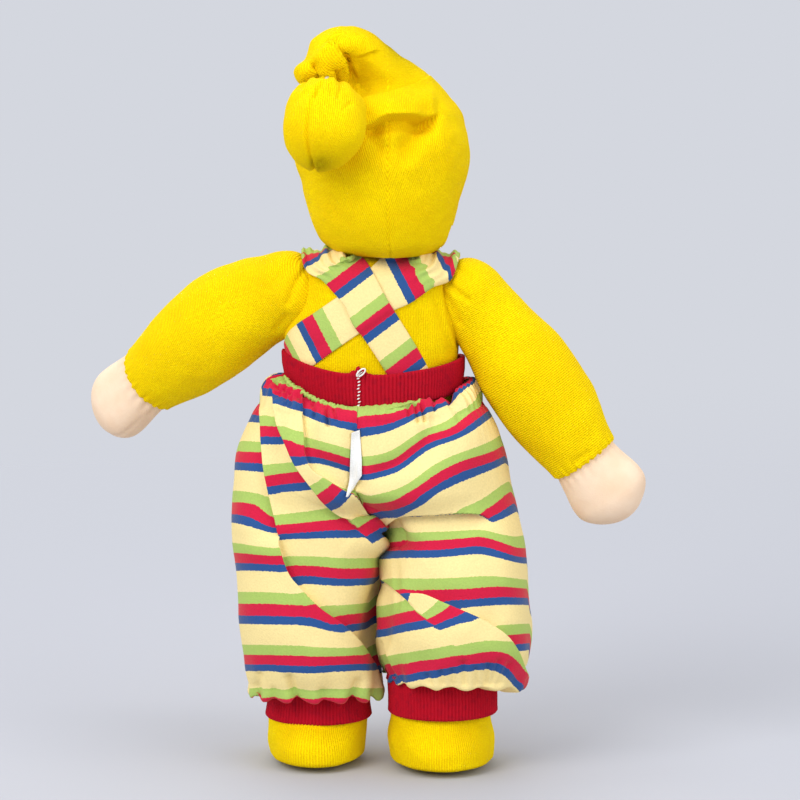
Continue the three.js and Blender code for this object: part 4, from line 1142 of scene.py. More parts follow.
def grown(form, amount):
    """A form with its whole surface moved out."""
    made = dict(form)
    made["rows"] = [[z, w + amount, d + amount, HEAD_X, 0] for z, w, d in form["rows"]]
    made["low"] -= amount
    made["high"] += amount
    made["low_round"] += amount
    made["high_round"] += amount
    return made


def head():
    """The head's cover gives way under the hood, where the hood dents it."""
    mesh = stuffed("head_cover", grown(HEAD, 0))
    places, normals = points_of(mesh), normals_of(mesh)
    in_face = smoothstep(1.15, 1.0, from_face(places)) * smoothstep(-6, -12, places[:, 1])
    at_cheek = (smoothstep(-16, -22, places[:, 0]) * smoothstep(264, 261, places[:, 2])
                * smoothstep(12, 6, places[:, 1]))
    bare = np.maximum(in_face, at_cheek)
    dented = np.minimum((hood_folds(places, normals) * normals).sum(1), 0) * 1.25 - 2.4
    pressed = bump(distance_to(in_picture(places), UNDER_FLAP, 56), 9) * smoothstep(0, 10, places[:, 1])
    dented -= 6.0 * pressed
    set_points(mesh, hood_outline(places) * (1 - bare[:, None]) + places * bare[:, None])
    swell(mesh, dented * (1 - bare) + lumps(places, 20, 0.5, 35) * bare)
    core(mesh, "head_wool_core", "head", "head_wool", 2.0)
    finish_piece(mesh, "head_cover", "head", "peach_tricot", "head_skin")


# The hood's peak: the X, Y and Z of its middle, and its radius
PEAK = [(-6, 0, 306, 32), (-4, 0, 317, 27.5), (-1, 1, 326, 20.5), (6, 3, 335, 16), (15, 7, 342, 15),
        (24, 16, 340, 12), (24.5, 26, 334, 6.5)]
HOOD_LAPS = (
    dict(line=[(360, 130), (368, 124), (377, 120), (400, 117), (423, 115), (440, 113)], over=1,
         depth=8.5, front=8, behind=12, edge=2.4, ends=(0.02, 0.12)),
    dict(line=[(346, 105), (362, 100), (377, 96), (398, 92), (423, 80), (441, 70)], over=-1,
         depth=2.8, front=5, behind=7, edge=0.9, ends=(0.05, 0.4)),
    dict(line=[(325, 42), (334, 51), (342, 63), (345, 74), (344, 86)], over=-1,
         depth=9.0, front=5, behind=7, edge=3.0, ends=(0.12, 0.02)),
    dict(line=[(356, 59), (368, 53), (382, 49)], over=1,
         depth=1.8, front=5, behind=6, edge=0.5, ends=(0.3, 0.4)),
    dict(line=[(309, 64), (316, 73), (321, 86)], over=-1,
         depth=2.4, front=3.5, behind=4, edge=0.7, ends=(0.2, 0.1)),
    dict(line=[(333, 68), (336, 76), (337, 86)], over=-1,
         depth=2.6, front=3, behind=3.5, edge=0.8, ends=(0.2, 0.1)),
)
HOOD_SWELLS = (
    ([(428, 122), (419, 134), (409, 148)], 6.0, -6.0), ([(374, 128), (380, 146)], 5.5, -3.4),
    ([(372, 124), (400, 122), (430, 119)], 3.0, -2.2),
    ([(389, 122), (387, 167), (390, 258)], 0.9, -0.9), ([(389, 122), (387, 167), (390, 258)], 4.0, 0.9),
    ([(444, 112), (432, 136), (412, 166)], 4.5, 1.4), ([(366, 113), (400, 105), (432, 98)], 5.5, 1.8),
    ([(352, 92), (375, 86), (395, 85)], 4.5, -1.4), ([(372, 64), (398, 84)], 4.0, 1.3),
    ([(338, 52), (347, 62), (349, 80)], 2.2, -3.2), ([(314, 66), (318, 80)], 1.6, -2.4),
    ([(335, 72), (337, 84)], 1.4, -2.4), ([(356, 60), (362, 70), (358, 84)], 5.5, -3.4),
    ([(302, 72), (303, 84)], 3.5, 1.6),
    ([(322, 60), (327, 80)], 3.0, 1.2), ([(312, 70), (314, 86)], 1.4, -0.8),
)
# how far the hood's two edges lie beyond a round head's: [pixels down, pixels]
HOOD_RIGHT = [[42, 8], [52, 14], [66, 22], [78, 18], [87, 14], [95, 10.5], [108, 4.5], [122, -0.5], [136, 1],
              [152, 3.2], [168, 2], [178, 0], [190, -3], [225, -3.2], [245, -2]]
HOOD_LEFT = [[40, 0], [52, 3], [60, 1], [68, -9], [74, -14], [84, -16], [92, -10], [104, -4], [140, -3],
             [159, -6.5], [168, -5], [178, -2], [195, -1], [245, 0]]
HOOD_SPARE = 2.1  # how far the hood stands off the head
HOOD_THICK = 1.5
HOOD_LOWER = 2.2  # how much lower than the head the hood's form starts
HOOD_WALES = 240  # counted round the head
HOOD_SEAM_X = -4.3
WALE_SLANT = 0.34
CHEEK_CUT = (252.8, 262)  # between these heights the hood is open at the right cheek


def hood_outline(places):
    """The hood drawn out or in at its two edges, as far as the photo shows it."""
    spots = in_picture(places)
    beyond = spots[:, 0] - HEAD_PIXEL
    reach = np.clip(np.abs(beyond) / 80, 0, 1.1) ** 2
    right, left = (rows_at(rows, spots[:, 1])[:, 0] for rows in (HOOD_RIGHT, HOOD_LEFT))
    amount = np.where(beyond > 0, right, left)
    made = places.copy()
    made[:, 0] -= amount * PIXEL * reach
    return made


def hood_folds(places, normals):
    """How far the hood's folds move its points."""
    return draped(places, normals, HOOD_LAPS, HOOD_SWELLS, smoothstep(-6, 6, places[:, 1]))


def horn(name, points, around=64, rings=60):
    """A tapering closed horn along a curve of points with their radii."""
    bm = bmesh.new()
    bmesh.ops.create_uvsphere(bm, u_segments=around, v_segments=rings, radius=1.0)
    mesh = mesh_from(bm, name)
    unit = points_of(mesh)
    tilt = np.arccos(np.clip(unit[:, 2], -1, 1)) / math.pi
    knots = [[n / (len(points) - 1), *p] for n, p in enumerate(points)]
    spot = rows_at(knots, tilt)
    ahead = rows_at(knots, np.clip(tilt + 0.01, 0, 1)) - rows_at(knots, np.clip(tilt - 0.01, 0, 1))
    along = ahead[:, :3] / np.linalg.norm(ahead[:, :3], axis=1)[:, None]
    side = np.cross(along, (0.0, 1.0, 0.3))
    side /= np.linalg.norm(side, axis=1)[:, None]
    up = np.cross(side, along)
    ring = np.hypot(unit[:, 0], unit[:, 1])
    blunt = np.minimum(ring / 0.25, 1)
    turn = np.arctan2(unit[:, 1], unit[:, 0])
    out = spot[:, 3] * blunt
    places = spot[:, :3] + side * (np.cos(turn) * out)[:, None] + up * (np.sin(turn) * out)[:, None]
    set_points(mesh, places)
    return mesh


def joined(name, *meshes):
    bm = bmesh.new()
    for mesh in meshes:
        bm.from_mesh(mesh)
    bmesh.ops.recalc_face_normals(bm, faces=bm.faces)
    return mesh_from(bm, name)


def tube(name, path, radius, around=16, closed=False, bulge=None):
    """A round thread or roll along a path of points. bulge gives its radius a factor at each point."""
    path = np.asarray(path, float)
    count = len(path)
    mesh, u, v = grid(name, around, count - 1)
    ring = np.clip(np.round(v * (count - 1)).astype(int), 0, count - 1)
    ahead = np.roll(path, -1, axis=0) - np.roll(path, 1, axis=0)
    if not closed:
        ahead[0], ahead[-1] = path[1] - path[0], path[-1] - path[-2]
    ahead /= np.linalg.norm(ahead, axis=1)[:, None]
    side = np.zeros_like(path)
    side[0] = np.cross(ahead[0], (0.3, 0.2, 0.93) if abs(ahead[0][2]) < 0.8 else (1.0, 0.1, 0.0))
    for n in range(1, count):  # carried along, so that the tube doesn't twist
        side[n] = side[n - 1] - ahead[n] * (side[n - 1] @ ahead[n])
        side[n] /= np.linalg.norm(side[n])
    side[0] /= np.linalg.norm(side[0])
    up = np.cross(ahead, side)
    size = radius * (np.ones(count) if bulge is None else bulge)
    if not closed:
        size = size * np.minimum(np.minimum(np.arange(count), np.arange(count)[::-1]) / 2 + 0.05, 1)
    turn = 2 * math.pi * u
    out = side[ring] * np.cos(turn)[:, None] + up[ring] * np.sin(turn)[:, None]
    set_points(mesh, path[ring] + out * size[ring][:, None])
    return closed_seams(mesh, 0.004)


def helix(middle, axis, radius, turns, pitch):
    """Points of a thread that is wound round an axis."""
    place = turned_to(axis, middle)
    steps = np.linspace(0, turns * 2 * math.pi, turns * 36)
    return np.array([place @ Vector((radius * math.cos(t), radius * math.sin(t),
                                     pitch * (t / (2 * math.pi) - turns / 2))) for t in steps])


def hood_wales(places):
    """The wales run round the head and slant down from both sides of the hood's back seam."""
    turn = np.arctan2(places[:, 0] - HOOD_SEAM_X, places[:, 1])
    return np.abs(HOOD_WALES * WALE_PITCH / (2 * math.pi) * turn) - places[:, 2] * WALE_SLANT


def hood_form():
    """The hood before it is cut open: the head's form with the peak grown out of it, and its folds."""
    form = grown(HEAD, HOOD_SPARE)
    form["low"] -= HOOD_LOWER
    both = joined("hood_cloth", stuffed("hood_base", form, 96, 72), horn("hood_peak", PEAK))
    mesh = mesh_after(both, ("REMESH", {"mode": "VOXEL", "voxel_size": 1.4}),
                      ("SMOOTH", {"factor": 0.6, "iterations": 12}),
                      ("SUBSURF", {"levels": 1, "render_levels": 1}))
    set_points(mesh, hood_outline(points_of(mesh)))
    places, normals = points_of(mesh), normals_of(mesh)
    places = places + hood_folds(places, normals) + normals * (
        lumps(places, 18, 1.1, 31) + lumps(places, 6, 0.35, 32))[:, None]
    # the points beside the face's opening lie on its edge
    opening = from_face(places)
    at_edge = (np.abs(opening - 1) < 0.02) & (places[:, 1] < -10)
    places[:, 0] = np.where(at_edge, HEAD_X + (places[:, 0] - HEAD_X) / opening, places[:, 0])
    places[:, 2] = np.where(at_edge, FACE_MIDDLE + (places[:, 2] - FACE_MIDDLE) / opening, places[:, 2])
    set_points(mesh, places)
    return mesh


def cut_open(mesh):
    """The hood's cloth with its openings at the neck, the face and the right cheek."""
    bm = bmesh.new()
    bm.from_mesh(mesh)
    bmesh.ops.bisect_plane(bm, geom=bm.verts[:] + bm.edges[:] + bm.faces[:], plane_co=(0, 0, HOOD_HEM),
                           plane_no=(0, 0, 1), clear_inner=True)
    inside = []
    for face in bm.faces:
        middle = face.calc_center_median()
        reach = math.hypot((middle.x - HEAD_X) / FACE_HALF[0], (middle.z - FACE_MIDDLE) / FACE_HALF[1])
        cheek = reach > 1 and middle.x < -20 and CHEEK_CUT[0] < middle.z < CHEEK_CUT[1] and middle.y < 7
        if cheek or middle.y < -10 and reach < 1:
            inside.append(face)
    bmesh.ops.delete(bm, geom=inside, context="FACES")
    return mesh_after(mesh_from(bm, "hood_cloth"), ("SOLIDIFY", {"thickness": HOOD_THICK, "offset": -1}))


def face_hem(tree):
    """The rolled hem round the face. Rays from the front find how far out the hood's cloth lies there."""
    rim = []
    for turn in np.linspace(0, 2 * math.pi, 140, endpoint=False):
        x = HEAD_X + FACE_HALF[0] * math.cos(turn)
        z = max(FACE_MIDDLE + FACE_HALF[1] * math.sin(turn), HOOD_HEM + 1.6)
        hit = tree.ray_cast(Vector((x * 1.01, -150, z)), Vector((0, 1, 0)))[0]
        rim.append((x, (hit.y if hit else -30) + 0.9, z))
    rim = np.array(rim)
    for _ in range(4):
        rim[:, 1] = (np.roll(rim[:, 1], 1) + rim[:, 1] + np.roll(rim[:, 1], -1)) / 3
    return tube("hood_face_hem", np.vstack([rim, rim[:1]]), 1.9, 14, closed=True)


def hood():
    whole = hood_form()
    mesh = joined("hood_cloth", cut_open(whole), face_hem(tree_of(whole)))
    set_wales(mesh, hood_wales(points_of(mesh)))
    finish_piece(mesh, "hood_cloth", "head", "yellow_terry", "hood")


TIE = (24, 27, 333)
BOBBLE = (25.5, 43.5, 315.5)
BOBBLE_FORM = {
    "rows": [[-21, 19, 19], [0, 19.4, 19.4], [11, 18, 18], [17, 14, 14], [22, 7, 7], [28, 5, 5]],
    "low": -21, "high": 27.5, "low_round": 21, "high_round": 4,
}
BOBBLE_SEAM = [(322, 84), (314, 97), (309, 112), (307, 130), (309, 150), (315, 172)]
BOBBLE_SWELLS = (
    (BOBBLE_SEAM, 0.9, -1.7), (BOBBLE_SEAM, 4.0, 0.9), ([(350, 104), (343, 110)], 1.0, -0.8),
    ([(330, 84), (332, 94)], 1.1, -1.2), ([(341, 88), (338, 97)], 1.0, -1.0),
    ([(318, 86), (316, 96)], 1.0, -0.8), ([(352, 112), (356, 134)], 7.0, 1.0),
)
BOBBLE_SAG = 3.8
BOBBLE_WALES = 120  # counted round the bobble


def bobble():
    along = Vector(TIE) - Vector(BOBBLE)
    place = Matrix.Translation((0, 0, -BOBBLE_SAG)) @ turned_to(along, Vector(BOBBLE))
    mesh = stuffed("bobble_ball", BOBBLE_FORM, 256, 200)
    places = points_of(mesh)
    turn = np.arctan2(places[:, 1], places[:, 0])
    drawn = smoothstep(4, 19, places[:, 2])
    swell(mesh, lumps(places, 14, 1.2, 41) + lumps(places, 6, 0.35, 42)
          + drawn * (0.9 * np.cos(11 * turn) + 0.5 * np.cos(17 * turn + 1)))
    mesh.transform(place)
    places = points_of(mesh)
    spots = in_picture(places)
    out = np.zeros(len(places))
    for line, width, height in BOBBLE_SWELLS:
        out += height * bump(distance_to(spots, line, 30), width)
    swell(mesh, out * smoothstep(36, 44, places[:, 1]))
    set_wales(mesh, BOBBLE_WALES * WALE_PITCH / (2 * math.pi) * np.abs(turn))
    core(mesh, "bobble_core", "bobble", "bobble_wool", COVER)
    finish_piece(mesh, "bobble_ball", "bobble", "yellow_terry", "bobble")
    wound = helix(Vector(TIE) - along.normalized() * 4.5, along, 2.2, 3, 0.5)
    finish_piece(tube("bobble_thread", wound, 0.32, 8), "bobble_thread", "head", "white_thread", "bobble_tie")


NECK = {
    "rows": [[238, 11.5, 11.5, HEAD_X, 0], [250, 11.4, 11.4, HEAD_X, 0], [257, 12.5, 12.5, HEAD_X, 0],
             [269.5, 12.5, 12.5, HEAD_X, 0]],
    "low": 238, "high": 269.5, "low_round": 1, "high_round": 12.5,
}
NECK_TIE = 250  # the height at which the thread is wound


def neck():
    mesh = stuffed("neck_cover", NECK, 72, 60)
    places = points_of(mesh)
    turn = np.arctan2(places[:, 1], places[:, 0] - HEAD_X)
    swell(mesh, 0.25 * np.cos(19 * turn) * bump(places[:, 2] - NECK_TIE, 3))
    finish_piece(mesh, "neck_cover", "neck", "peach_tricot", "neck")
    wound = helix(Vector((HEAD_X, 0, 250.2)), (0, 0, 1), 12.0, 3, 0.6)
    finish_piece(tube("neck_thread", wound, 0.35, 8), "neck_thread", "neck", "white_thread", "neck_tie")


EYE_HEIGHT = 291
EYE_OUT = 11
EYE_RADIUS = 1.9
EYE_THREADS = 7
MOUTH_HEIGHT = 276
MOUTH_HALF = 4
MOUTH_THREADS = 3


def face():
    """Two embroidered eyes and a short embroidered mouth, each of threads that lie side by side."""
    rows = grown(HEAD, 0)["rows"]

    def skin(x, z):
        width, depth = rows_at(rows, np.array([z]))[0][:2]
        return -depth * math.sqrt(1 - (x / width) ** 2)

    for side in (1, -1):
        name = SIDE_NAMES[side]
        threads = []
        for n in range(EYE_THREADS):
            offset = (n - EYE_THREADS // 2) * 0.5
            reach = math.sqrt(EYE_RADIUS**2 - offset**2)
            x = side * EYE_OUT + offset
            path = [(HEAD_X + x, skin(x, EYE_HEIGHT) - 0.15 - 0.45 * (1 - t * t), EYE_HEIGHT + reach * t)
                    for t in np.linspace(-1, 1, 9)]
            threads.append(tube(f"{name}_eye_thread_{n}", path, 0.3, 8))
        finish_piece(joined(f"{name}_eye_stitches", *threads), f"{name}_eye_stitches", "head", "brown_thread",
                     f"{name}_eye")
    strands = []
    for n in range(MOUTH_THREADS):
        path = [(HEAD_X + MOUTH_HALF * t, skin(MOUTH_HALF * t, MOUTH_HEIGHT) - 0.3,
                 MOUTH_HEIGHT + 1.1 * t * t + (n - 1) * 0.4 * (1 - t * t)) for t in np.linspace(-1, 1, 24)]
        strands.append(tube(f"mouth_thread_{n}", path, 0.28, 8))
    finish_piece(joined("mouth_stitches", *strands), "mouth_stitches", "head", "rose_thread", "mouth")


def on_plane(spots, y):
    """Points in midline millimetres that show at spots of the photo and lie at the depth y."""
    spots = np.asarray(spots, float)
    right = (spots[:, 0] - PICTURE_HALF) * PIXEL / CAMERA_DISTANCE
    up = (PICTURE_HALF - spots[:, 1]) * PIXEL / CAMERA_DISTANCE
    sideways = np.stack([-right, np.zeros_like(right), np.zeros_like(right)], axis=1)
    ahead = -CAMERA_BACK + up[:, None] * CAMERA_UP + sideways
    reach = (np.asarray(y) - CAMERA_SPOT[1]) / ahead[:, 1]
    return CAMERA_SPOT + ahead * reach[:, None]


def tree_of(*meshes):
    """What rays are cast on: the faces of some meshes."""
    places, faces, start = [], [], 0
    for mesh in meshes:
        places += [tuple(p) for p in points_of(mesh)]
        faces += [tuple(start + n for n in face.vertices) for face in mesh.polygons]
        start = len(places)
    return BVHTree.FromPolygons(places, faces)


def smoothed(values, u, v, passes):
    """Values on a grid, smoothed along both of its sides."""
    order = np.lexsort((np.round(u, 5), np.round(v, 5)))
    columns = len(np.unique(np.round(u, 5)))
    table = values[order].reshape(-1, columns)

    def soften(row):
        return np.convolve(np.pad(row, 1, mode="edge"), (0.25, 0.5, 0.25), "valid")

    for _ in range(passes):
        for axis in (1, 0):
            table = np.apply_along_axis(soften, axis, table)
    result = np.empty_like(values)
    result[order] = table.ravel()
    return result


# Each strap's path: [share, X, Z, the angle that it is seen at round the shoulder, its width's way in X, Z]
STRAPS = {
    1: dict(path=[[0.0, 22, 188, 180, 1, 0], [0.18, 22, 216, 180, 1, 0], [0.28, 24, 232, 165, 1, 0],
                  [0.37, 26, 233, 90, 1, 0], [0.45, 24.5, 236, 28, 0.96, -0.27],
                  [0.52, 18.5, 241, 6, 0.80, -0.60], [0.76, 1.5, 220, 0, 0.79, -0.61],
                  [1.0, -20.5, 187, 0, 0.80, -0.60]],
            width=20.0, narrowing=0.0),
    -1: dict(path=[[0.0, -22, 188, 180, 1, 0], [0.18, -22, 216, 180, 1, 0], [0.28, -24.5, 232, 165, 1, 0],
                   [0.37, -27.5, 233, 90, 1, 0], [0.44, -25.5, 236, 28, 0.88, 0.48],
                   [0.51, -17.5, 240, 6, 0.62, 0.78], [0.76, 12, 224, 0, 0.60, 0.80],
                   [1.0, 44, 198.5, 0, 0.62, 0.78]],
             width=22.6, narrowing=0.16),
}
STRAP_RUCHED = (0.33, 0.5)  # between these shares of its path a strap is ruched over the shoulder


BODY_ROUND = (43.0, 31.0)  # the body's half width and depth where the straps run round its side
ARC_END = 0.8  # past this share of the half width the turn grows evenly
ARC_TURN = 0.9273  # the arc sine of that share, and its slope there
ARC_SLOPE = 1.667
STRAP_GRID = (44, 300)
STRAP_THICK = 1.3
TRUNK_SHARE = 0.56  # from this share of its path on, a strap lies on the trunk alone
RAY = 120
# Where a strap's stripes are counted from, the way that they follow down it, how their pitch shows against
# the cloth's, how much they are shortened towards the shoulder, and from where on they are drawn out
STRAP_STRIPES = {
    1: dict(at=(343, 272.5), down=(0.604, 0.797), rate=0.968, shortening=0.048, ending=90),
    -1: dict(at=(415, 273), down=(-0.889, 0.458), rate=0.915, shortening=0.034, ending=58),
}


def strap_stripes(side, spots, v):
    """A strap's stripe coordinate, from the photo behind and by its own length over the shoulder."""
    facts = STRAP_STRIPES[side]
    along = ((spots - facts["at"]) @ np.array(facts["down"])) * PIXEL
    seen = band(1) + along * facts["rate"] - facts["shortening"] * np.maximum(-along - 3.5, 0) ** 2
    seen = seen + 0.05 * np.maximum(along - facts["ending"], 0) ** 2
    return np.where(v > 0.40, seen, band(0) - (0.40 - v) * 150)


def strap_rays(side, u, v):
    """Where the rays start that find what a strap lies on, and the way they look out."""
    facts = STRAPS[side]
    place = rows_at(facts["path"], v)
    across = 2 * u - 1
    half = facts["width"] / 2 * (1 - facts["narrowing"] * smoothstep(0.55, 1, v))
    x = place[:, 0] + across * half * place[:, 3]
    z = place[:, 1] + across * half * place[:, 4]
    angle = np.radians(place[:, 2])
    over = np.stack([np.zeros(len(u)), np.cos(angle), np.sin(angle)], axis=1)
    # low on the back the strap runs round the body, so its rays leave the body's middle
    seen = np.abs(x) / BODY_ROUND[0]
    turn = np.sign(x) * np.where(seen < ARC_END, np.arcsin(np.minimum(seen, ARC_END)),
                                 ARC_TURN + (seen - ARC_END) * ARC_SLOPE)
    level = np.zeros(len(u))
    round_body = np.stack([BODY_ROUND[0] * np.sin(turn), BODY_ROUND[1] * np.cos(turn), level], axis=1)
    round_body /= np.linalg.norm(round_body, axis=1)[:, None]
    share = smoothstep(TRUNK_SHARE, 0.72, v)[:, None]
    start = np.stack([x, level, z], axis=1) * (1 - share) + np.stack([level, level, z], axis=1) * share
    way = over * (1 - share) + round_body * share
    return start, way / np.linalg.norm(way, axis=1)[:, None]


def strap(side, lying_on):
    """A strap laid on the trees of what it lies on: those for its upper part and those for its lower part."""
    name = SIDE_NAMES[side]
    mesh, u, v = grid(f"{name}_strap_band", *STRAP_GRID)
    start, way = strap_rays(side, u, v)
    reach = np.empty(len(u))
    for n in range(len(u)):
        foot, ray = Vector(start[n]), Vector(way[n])
        hits = [tree.ray_cast(foot + ray * RAY, -ray, RAY)[0] for tree in lying_on[int(v[n] > TRUNK_SHARE)]]
        reach[n] = max([(hit - foot).length for hit in hits if hit] or [20.0])
    reach = smoothed(reach, u, v, 10)
    across = 2 * u - 1
    first, last = STRAP_RUCHED
    gathered = smoothstep(first - 0.06, first + 0.03, v) * smoothstep(last + 0.06, last - 0.04, v)
    ruck = gathered * (0.7 * np.sin(across * 10 + 6 * v) + 0.5 * np.sin(across * 17 + 20 * v + 1))
    lift = 1.9 - 0.7 * np.abs(across) ** 8 + ruck + 3.2 * gathered - 1.1 * smoothstep(0.88, 0.97, v)
    set_points(mesh, start + way * (reach + lift)[:, None])
    set_layer(mesh, "stripe", strap_stripes(side, in_picture(points_of(mesh)), v)
              + gathered * (0.9 * np.sin(across * 8 + 1) + 0.5 * np.sin(across * 15)))
    bare = mesh.copy()
    made = mesh_after(closed_seams(mesh, 0.001), ("SOLIDIFY", {"thickness": STRAP_THICK, "offset": -1}))
    piece = finish_piece(made, f"{name}_strap_band", "torso", "striped_jersey", f"{name}_strap")
    return bare


def straps():
    """The strap from the right shoulder lies on the body, and the one from the left shoulder over it."""
    all_round, trunk = tree_of(*BODY_MESHES), tree_of(BODY_MESHES[0])
    below = tree_of(strap(-1, ([all_round], [trunk])))
    strap(1, ([all_round, below], [trunk, below]))


BAND_OUT = 4.9  # how far the ribs' outside lies from the body


def band_skin(x, z):
    """How far back the outside of the waistband lies."""
    sizes = rows_at(TORSO["rows"], np.atleast_1d(float(z)))[0]
    return (sizes[1] + BAND_OUT) * math.sqrt(max(1 - ((x - sizes[2]) / (sizes[0] + BAND_OUT)) ** 2, 0.02))


STITCHES = 11
STITCH_START = 177.4
STITCH_PITCH = 1.62
STITCH_HALF = 0.75  # how far each stitch reaches to the sides, and how far it rises
LOOP_FOOT = (9.6, 193.4)  # the X and Z where the thread's loop starts, and how far it reaches from there
LOOP_REACH = (-2.6, 3.8)
LOOP_X = 8.5  # where the waistband is felt for the loop's depth
KNOT_HEIGHT = 194.6
KNOT_TAILS = ((1.6, -1.4), (1.0, 1.6), (-1.6, 1.2))  # how far each loose end reaches in X and Z


def seam_stitches():
    """White stitches down the waistband's seam, with the knotted loop of the thread's end over it."""
    threads = []
    for n in range(STITCHES):
        z = STITCH_START + STITCH_PITCH * n
        lean = 0.25 * math.sin(n * 2.3)
        left, right = SEAM_X + STITCH_HALF + lean, SEAM_X - STITCH_HALF + lean
        threads.append(tube(f"stitch_{n}", [
            (left + (right - left) * t, band_skin(SEAM_X, z) + 0.75 - 0.6 * (2 * t - 1) ** 2,
             z + STITCH_HALF * t) for t in np.linspace(0, 1, 7)], 0.36, 8))
    loop = [(LOOP_FOOT[0] - 1.5 * math.sin(t) + LOOP_REACH[0] * (1 - math.cos(t)) / 2,
             band_skin(LOOP_X, WAISTBAND_TOP) + 1.4 + 0.8 * math.sin(t / 2),
             LOOP_FOOT[1] + LOOP_REACH[1] * (1 - math.cos(t)) / 2) for t in np.linspace(0, 2 * math.pi, 40)]
    threads.append(tube("loop", loop, 0.38, 8))
    for n, (reach_x, reach_z) in enumerate(KNOT_TAILS):
        threads.append(tube(f"tail_{n}", [
            (SEAM_X - 0.4 + reach_x * t, band_skin(SEAM_X, WAISTBAND_TOP) + 0.5 + 0.9 * math.sin(t * 2.6),
             KNOT_HEIGHT + reach_z * t) for t in np.linspace(0, 1, 10)], 0.26, 8))
    finish_piece(joined("seam_stitches", *threads), "seam_stitches", "torso", "white_thread",
                 "back_seam_stitching")


ALLOWANCE_LINE = [(284, 375), (290, 384), (302, 392), (318, 401), (340, 407.5), (357, 410.5), (372, 411),
                  (392, 408), (415, 401)]
ALLOWANCE_RADIUS = 1.15
ALLOWANCE_STRIPE = 2.4  # inside the green band
ALLOWANCE_ROUND = (46, 34.2)  # the half width and depth of the waistband where the edge shows
ALLOWANCE_X = 2


def seam_allowance():
    """The overlocked edge of the trousers, which curls out under the waistband at the back."""
    path = []
    for spot in smooth_line(ALLOWANCE_LINE, 260):
        depth = 25.0
        for _ in range(4):  # the depth that the waistband has where the line shows
            point = on_plane([spot], depth)[0]
            beyond = (point[0] - ALLOWANCE_X) / ALLOWANCE_ROUND[0]
            depth = ALLOWANCE_ROUND[1] * math.sqrt(max(1 - beyond**2, 0.03)) + 0.6
        path.append(on_plane([spot], depth)[0])
    share = np.linspace(0, 1, len(path))
    beads = 1 + 0.28 * np.sin(share * 2 * math.pi * 34) + 0.12 * np.sin(share * 2 * math.pi * 57)
    thin = (1 - 0.65 * smoothstep(0.5, 0.7, share)) * smoothstep(-0.03, 0.06, share)
    mesh = tube("seam_allowance", path, ALLOWANCE_RADIUS, 12, bulge=beads * thin)
    set_layer(mesh, "stripe", np.full(len(mesh.vertices), ALLOWANCE_STRIPE))
    finish_piece(mesh, "seam_allowance", "torso", "striped_jersey")


# The label's two edges in the photo: [share of its length, pixels across], and its first and last pixels down
LABEL_LEFT = ([0, 0.15, 0.72, 1], [351.5, 351.0, 349.5, 346.2])
LABEL_RIGHT = ([0, 0.45, 0.68, 1], [359.6, 361.8, 361.8, 347.6])
LABEL_ENDS = (430, 497)


def care_label():
    """A bare slip of satin tape, sewn in under the waistband's seam: it hangs down, and its end, which folds over
    on the real label, is drawn as a flat tip that narrows on the slant.
    """
    mesh, u, v = grid("label_tape", 20, 90)
    left, right = np.interp(v, *LABEL_LEFT), np.interp(v, *LABEL_RIGHT)
    down = LABEL_ENDS[0] + (LABEL_ENDS[1] - LABEL_ENDS[0]) * v + (1 - u) * 3 * (1 - v)
    spots = np.stack([left + (right - left) * u, down], axis=1)
    places = on_plane(spots, 41.0)
    depth = np.empty(len(places))
    for n, place in enumerate(places):
        spot = Vector((place[0], 90, place[2]))
        hits = [tree.ray_cast(spot, Vector((0, -1, 0)))[0] for tree in TROUSER_TREE.values()]
        depth[n] = max([hit.y for hit in hits if hit] or [40.0])
    hanging = np.maximum(smoothed(depth, u, v, 40), depth + 0.2)
    hanging = np.maximum(smoothed(hanging, u, v, 6), depth + 0.2)
    hanging = hanging + 0.6 + 0.9 * np.sin(math.pi * u) * v + 0.8 * v**2
    set_points(mesh, on_plane(spots, hanging))
    made = mesh_after(mesh, ("SOLIDIFY", {"thickness": 0.35, "offset": 0}))
    finish_piece(made, "label_tape", "label", "white_tape", "care_label")


torso()
for side in (1, -1):
    sleeve(side)
    shoulder_core(side)
    mitten(side)
for side in (1, -1):
    leg(side)
    cuff(side)
    trouser_half(side)
waistband()
straps()
seam_stitches()
seam_allowance()
care_label()
neck()
head()
face()
hood()
bobble()

# CAD nodes that stay as they are take the finish of their slot
slot_of = {part["node"]: part["material_slot"] for part in frame["record"]["subparts"]}
for node_name, node in frame["nodes"].items():
    if not node.hide_render:
        node.data.materials.clear()
        node.data.materials.append(MATERIALS[slot_of[node_name]])


SENSOR = 36


def camera():
    target = from_midline(*AIM)
    back = Vector(CAMERA_BACK) * CAMERA_DISTANCE * MM
    lens = bpy.data.cameras.new("camera")
    lens.sensor_width = SENSOR
    lens.lens = SENSOR * CAMERA_DISTANCE / (2 * PICTURE_HALF * PIXEL)
    lens.dof.use_dof = False
    made = bpy.data.objects.new("camera", lens)
    made.location = target + back
    made.rotation_euler = (-back).to_track_quat("-Z", "Y").to_euler()
    bpy.context.scene.collection.objects.link(made)
    bpy.context.scene.camera = made


# The studio, in metres
FLOOR_WIDTH = 6
FLOOR_DROP = 0.0005
FLOOR_FADES = (0.25, 1.5)
LAMP_AIM = (0, 0, 0.17)
LAMPS = (
    ("key", (1.3, 1.6, 1.5), 1.4, 35), ("fill", (-1.6, 1.4, 0.9), 1.6, 16), ("top", (0.0, 0.1, 1.9), 1.2, 11),
    ("front", (0.3, -1.8, 1.2), 1.6, 14),
)


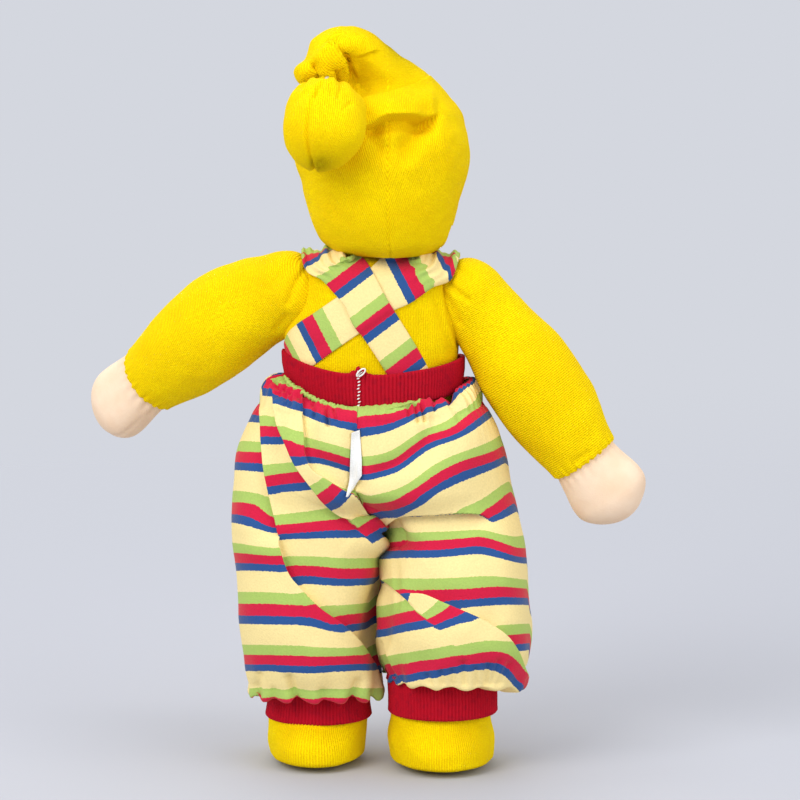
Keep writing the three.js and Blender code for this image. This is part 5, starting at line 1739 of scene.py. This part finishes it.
def studio_floor():
    """A pale floor that fades into the background away from the doll."""
    mesh, u, v = grid("studio_floor", 9, 9)
    flat = [(u - 0.5) * FLOOR_WIDTH, (v - 0.5) * FLOOR_WIDTH, np.full_like(u, -FLOOR_DROP)]
    set_points(mesh, np.stack(flat, axis=1))
    material, tree = new_material("studio_paper")
    reach = add(tree, "ShaderNodeVectorMath", {0: on_object(tree)}, operation="LENGTH")
    fade = add(tree, "ShaderNodeMapRange", {
        "Value": reach.outputs["Value"], "From Min": FLOOR_FADES[0], "From Max": FLOOR_FADES[1]},
        interpolation_type="SMOOTHSTEP")
    paper = add(tree, "ShaderNodeBsdfDiffuse", {"Color": to_linear(FLOOR)})
    clear = add(tree, "ShaderNodeBsdfTransparent")
    shader = add(tree, "ShaderNodeMixShader", {0: fade.outputs["Result"], 1: paper.outputs["BSDF"],
                                               2: clear.outputs["BSDF"]})
    add(tree, "ShaderNodeOutputMaterial", {"Surface": shader.outputs["Shader"]})
    mesh.materials.append(material)
    floor = bpy.data.objects.new("studio_floor", mesh)
    bpy.context.scene.collection.objects.link(floor)
    mesh.polygons.foreach_set("use_smooth", [True] * len(mesh.polygons))


def lamps():
    """Soft lamps: each has a name, a place, a width and a power."""
    for name, place, width, power in LAMPS:
        lamp = bpy.data.lights.new(name, "AREA")
        lamp.size = width
        lamp.energy = power
        made = bpy.data.objects.new(name, lamp)
        made.location = place
        made.rotation_euler = (Vector(LAMP_AIM) - Vector(place)).to_track_quat("-Z", "Y").to_euler()
        bpy.context.scene.collection.objects.link(made)


def air():
    """The light from all round, and the background that the camera sees in its place."""
    world = bpy.data.worlds.new("studio_air")
    world.use_nodes = True
    tree = world.node_tree
    tree.nodes.clear()
    light = add(tree, "ShaderNodeBackground", {"Color": to_linear(AIR), "Strength": 0.7})
    seen = add(tree, "ShaderNodeBackground", {"Color": to_linear(BACKGROUND), "Strength": 1.0})
    camera_ray = add(tree, "ShaderNodeLightPath").outputs["Is Camera Ray"]
    mixed = add(tree, "ShaderNodeMixShader", {
        0: camera_ray, 1: light.outputs["Background"], 2: seen.outputs["Background"]})
    add(tree, "ShaderNodeOutputWorld", {"Surface": mixed.outputs["Shader"]})
    bpy.context.scene.world = world


camera()
studio_floor()
lamps()
air()
bpy.context.scene.view_settings.view_transform = "Standard"
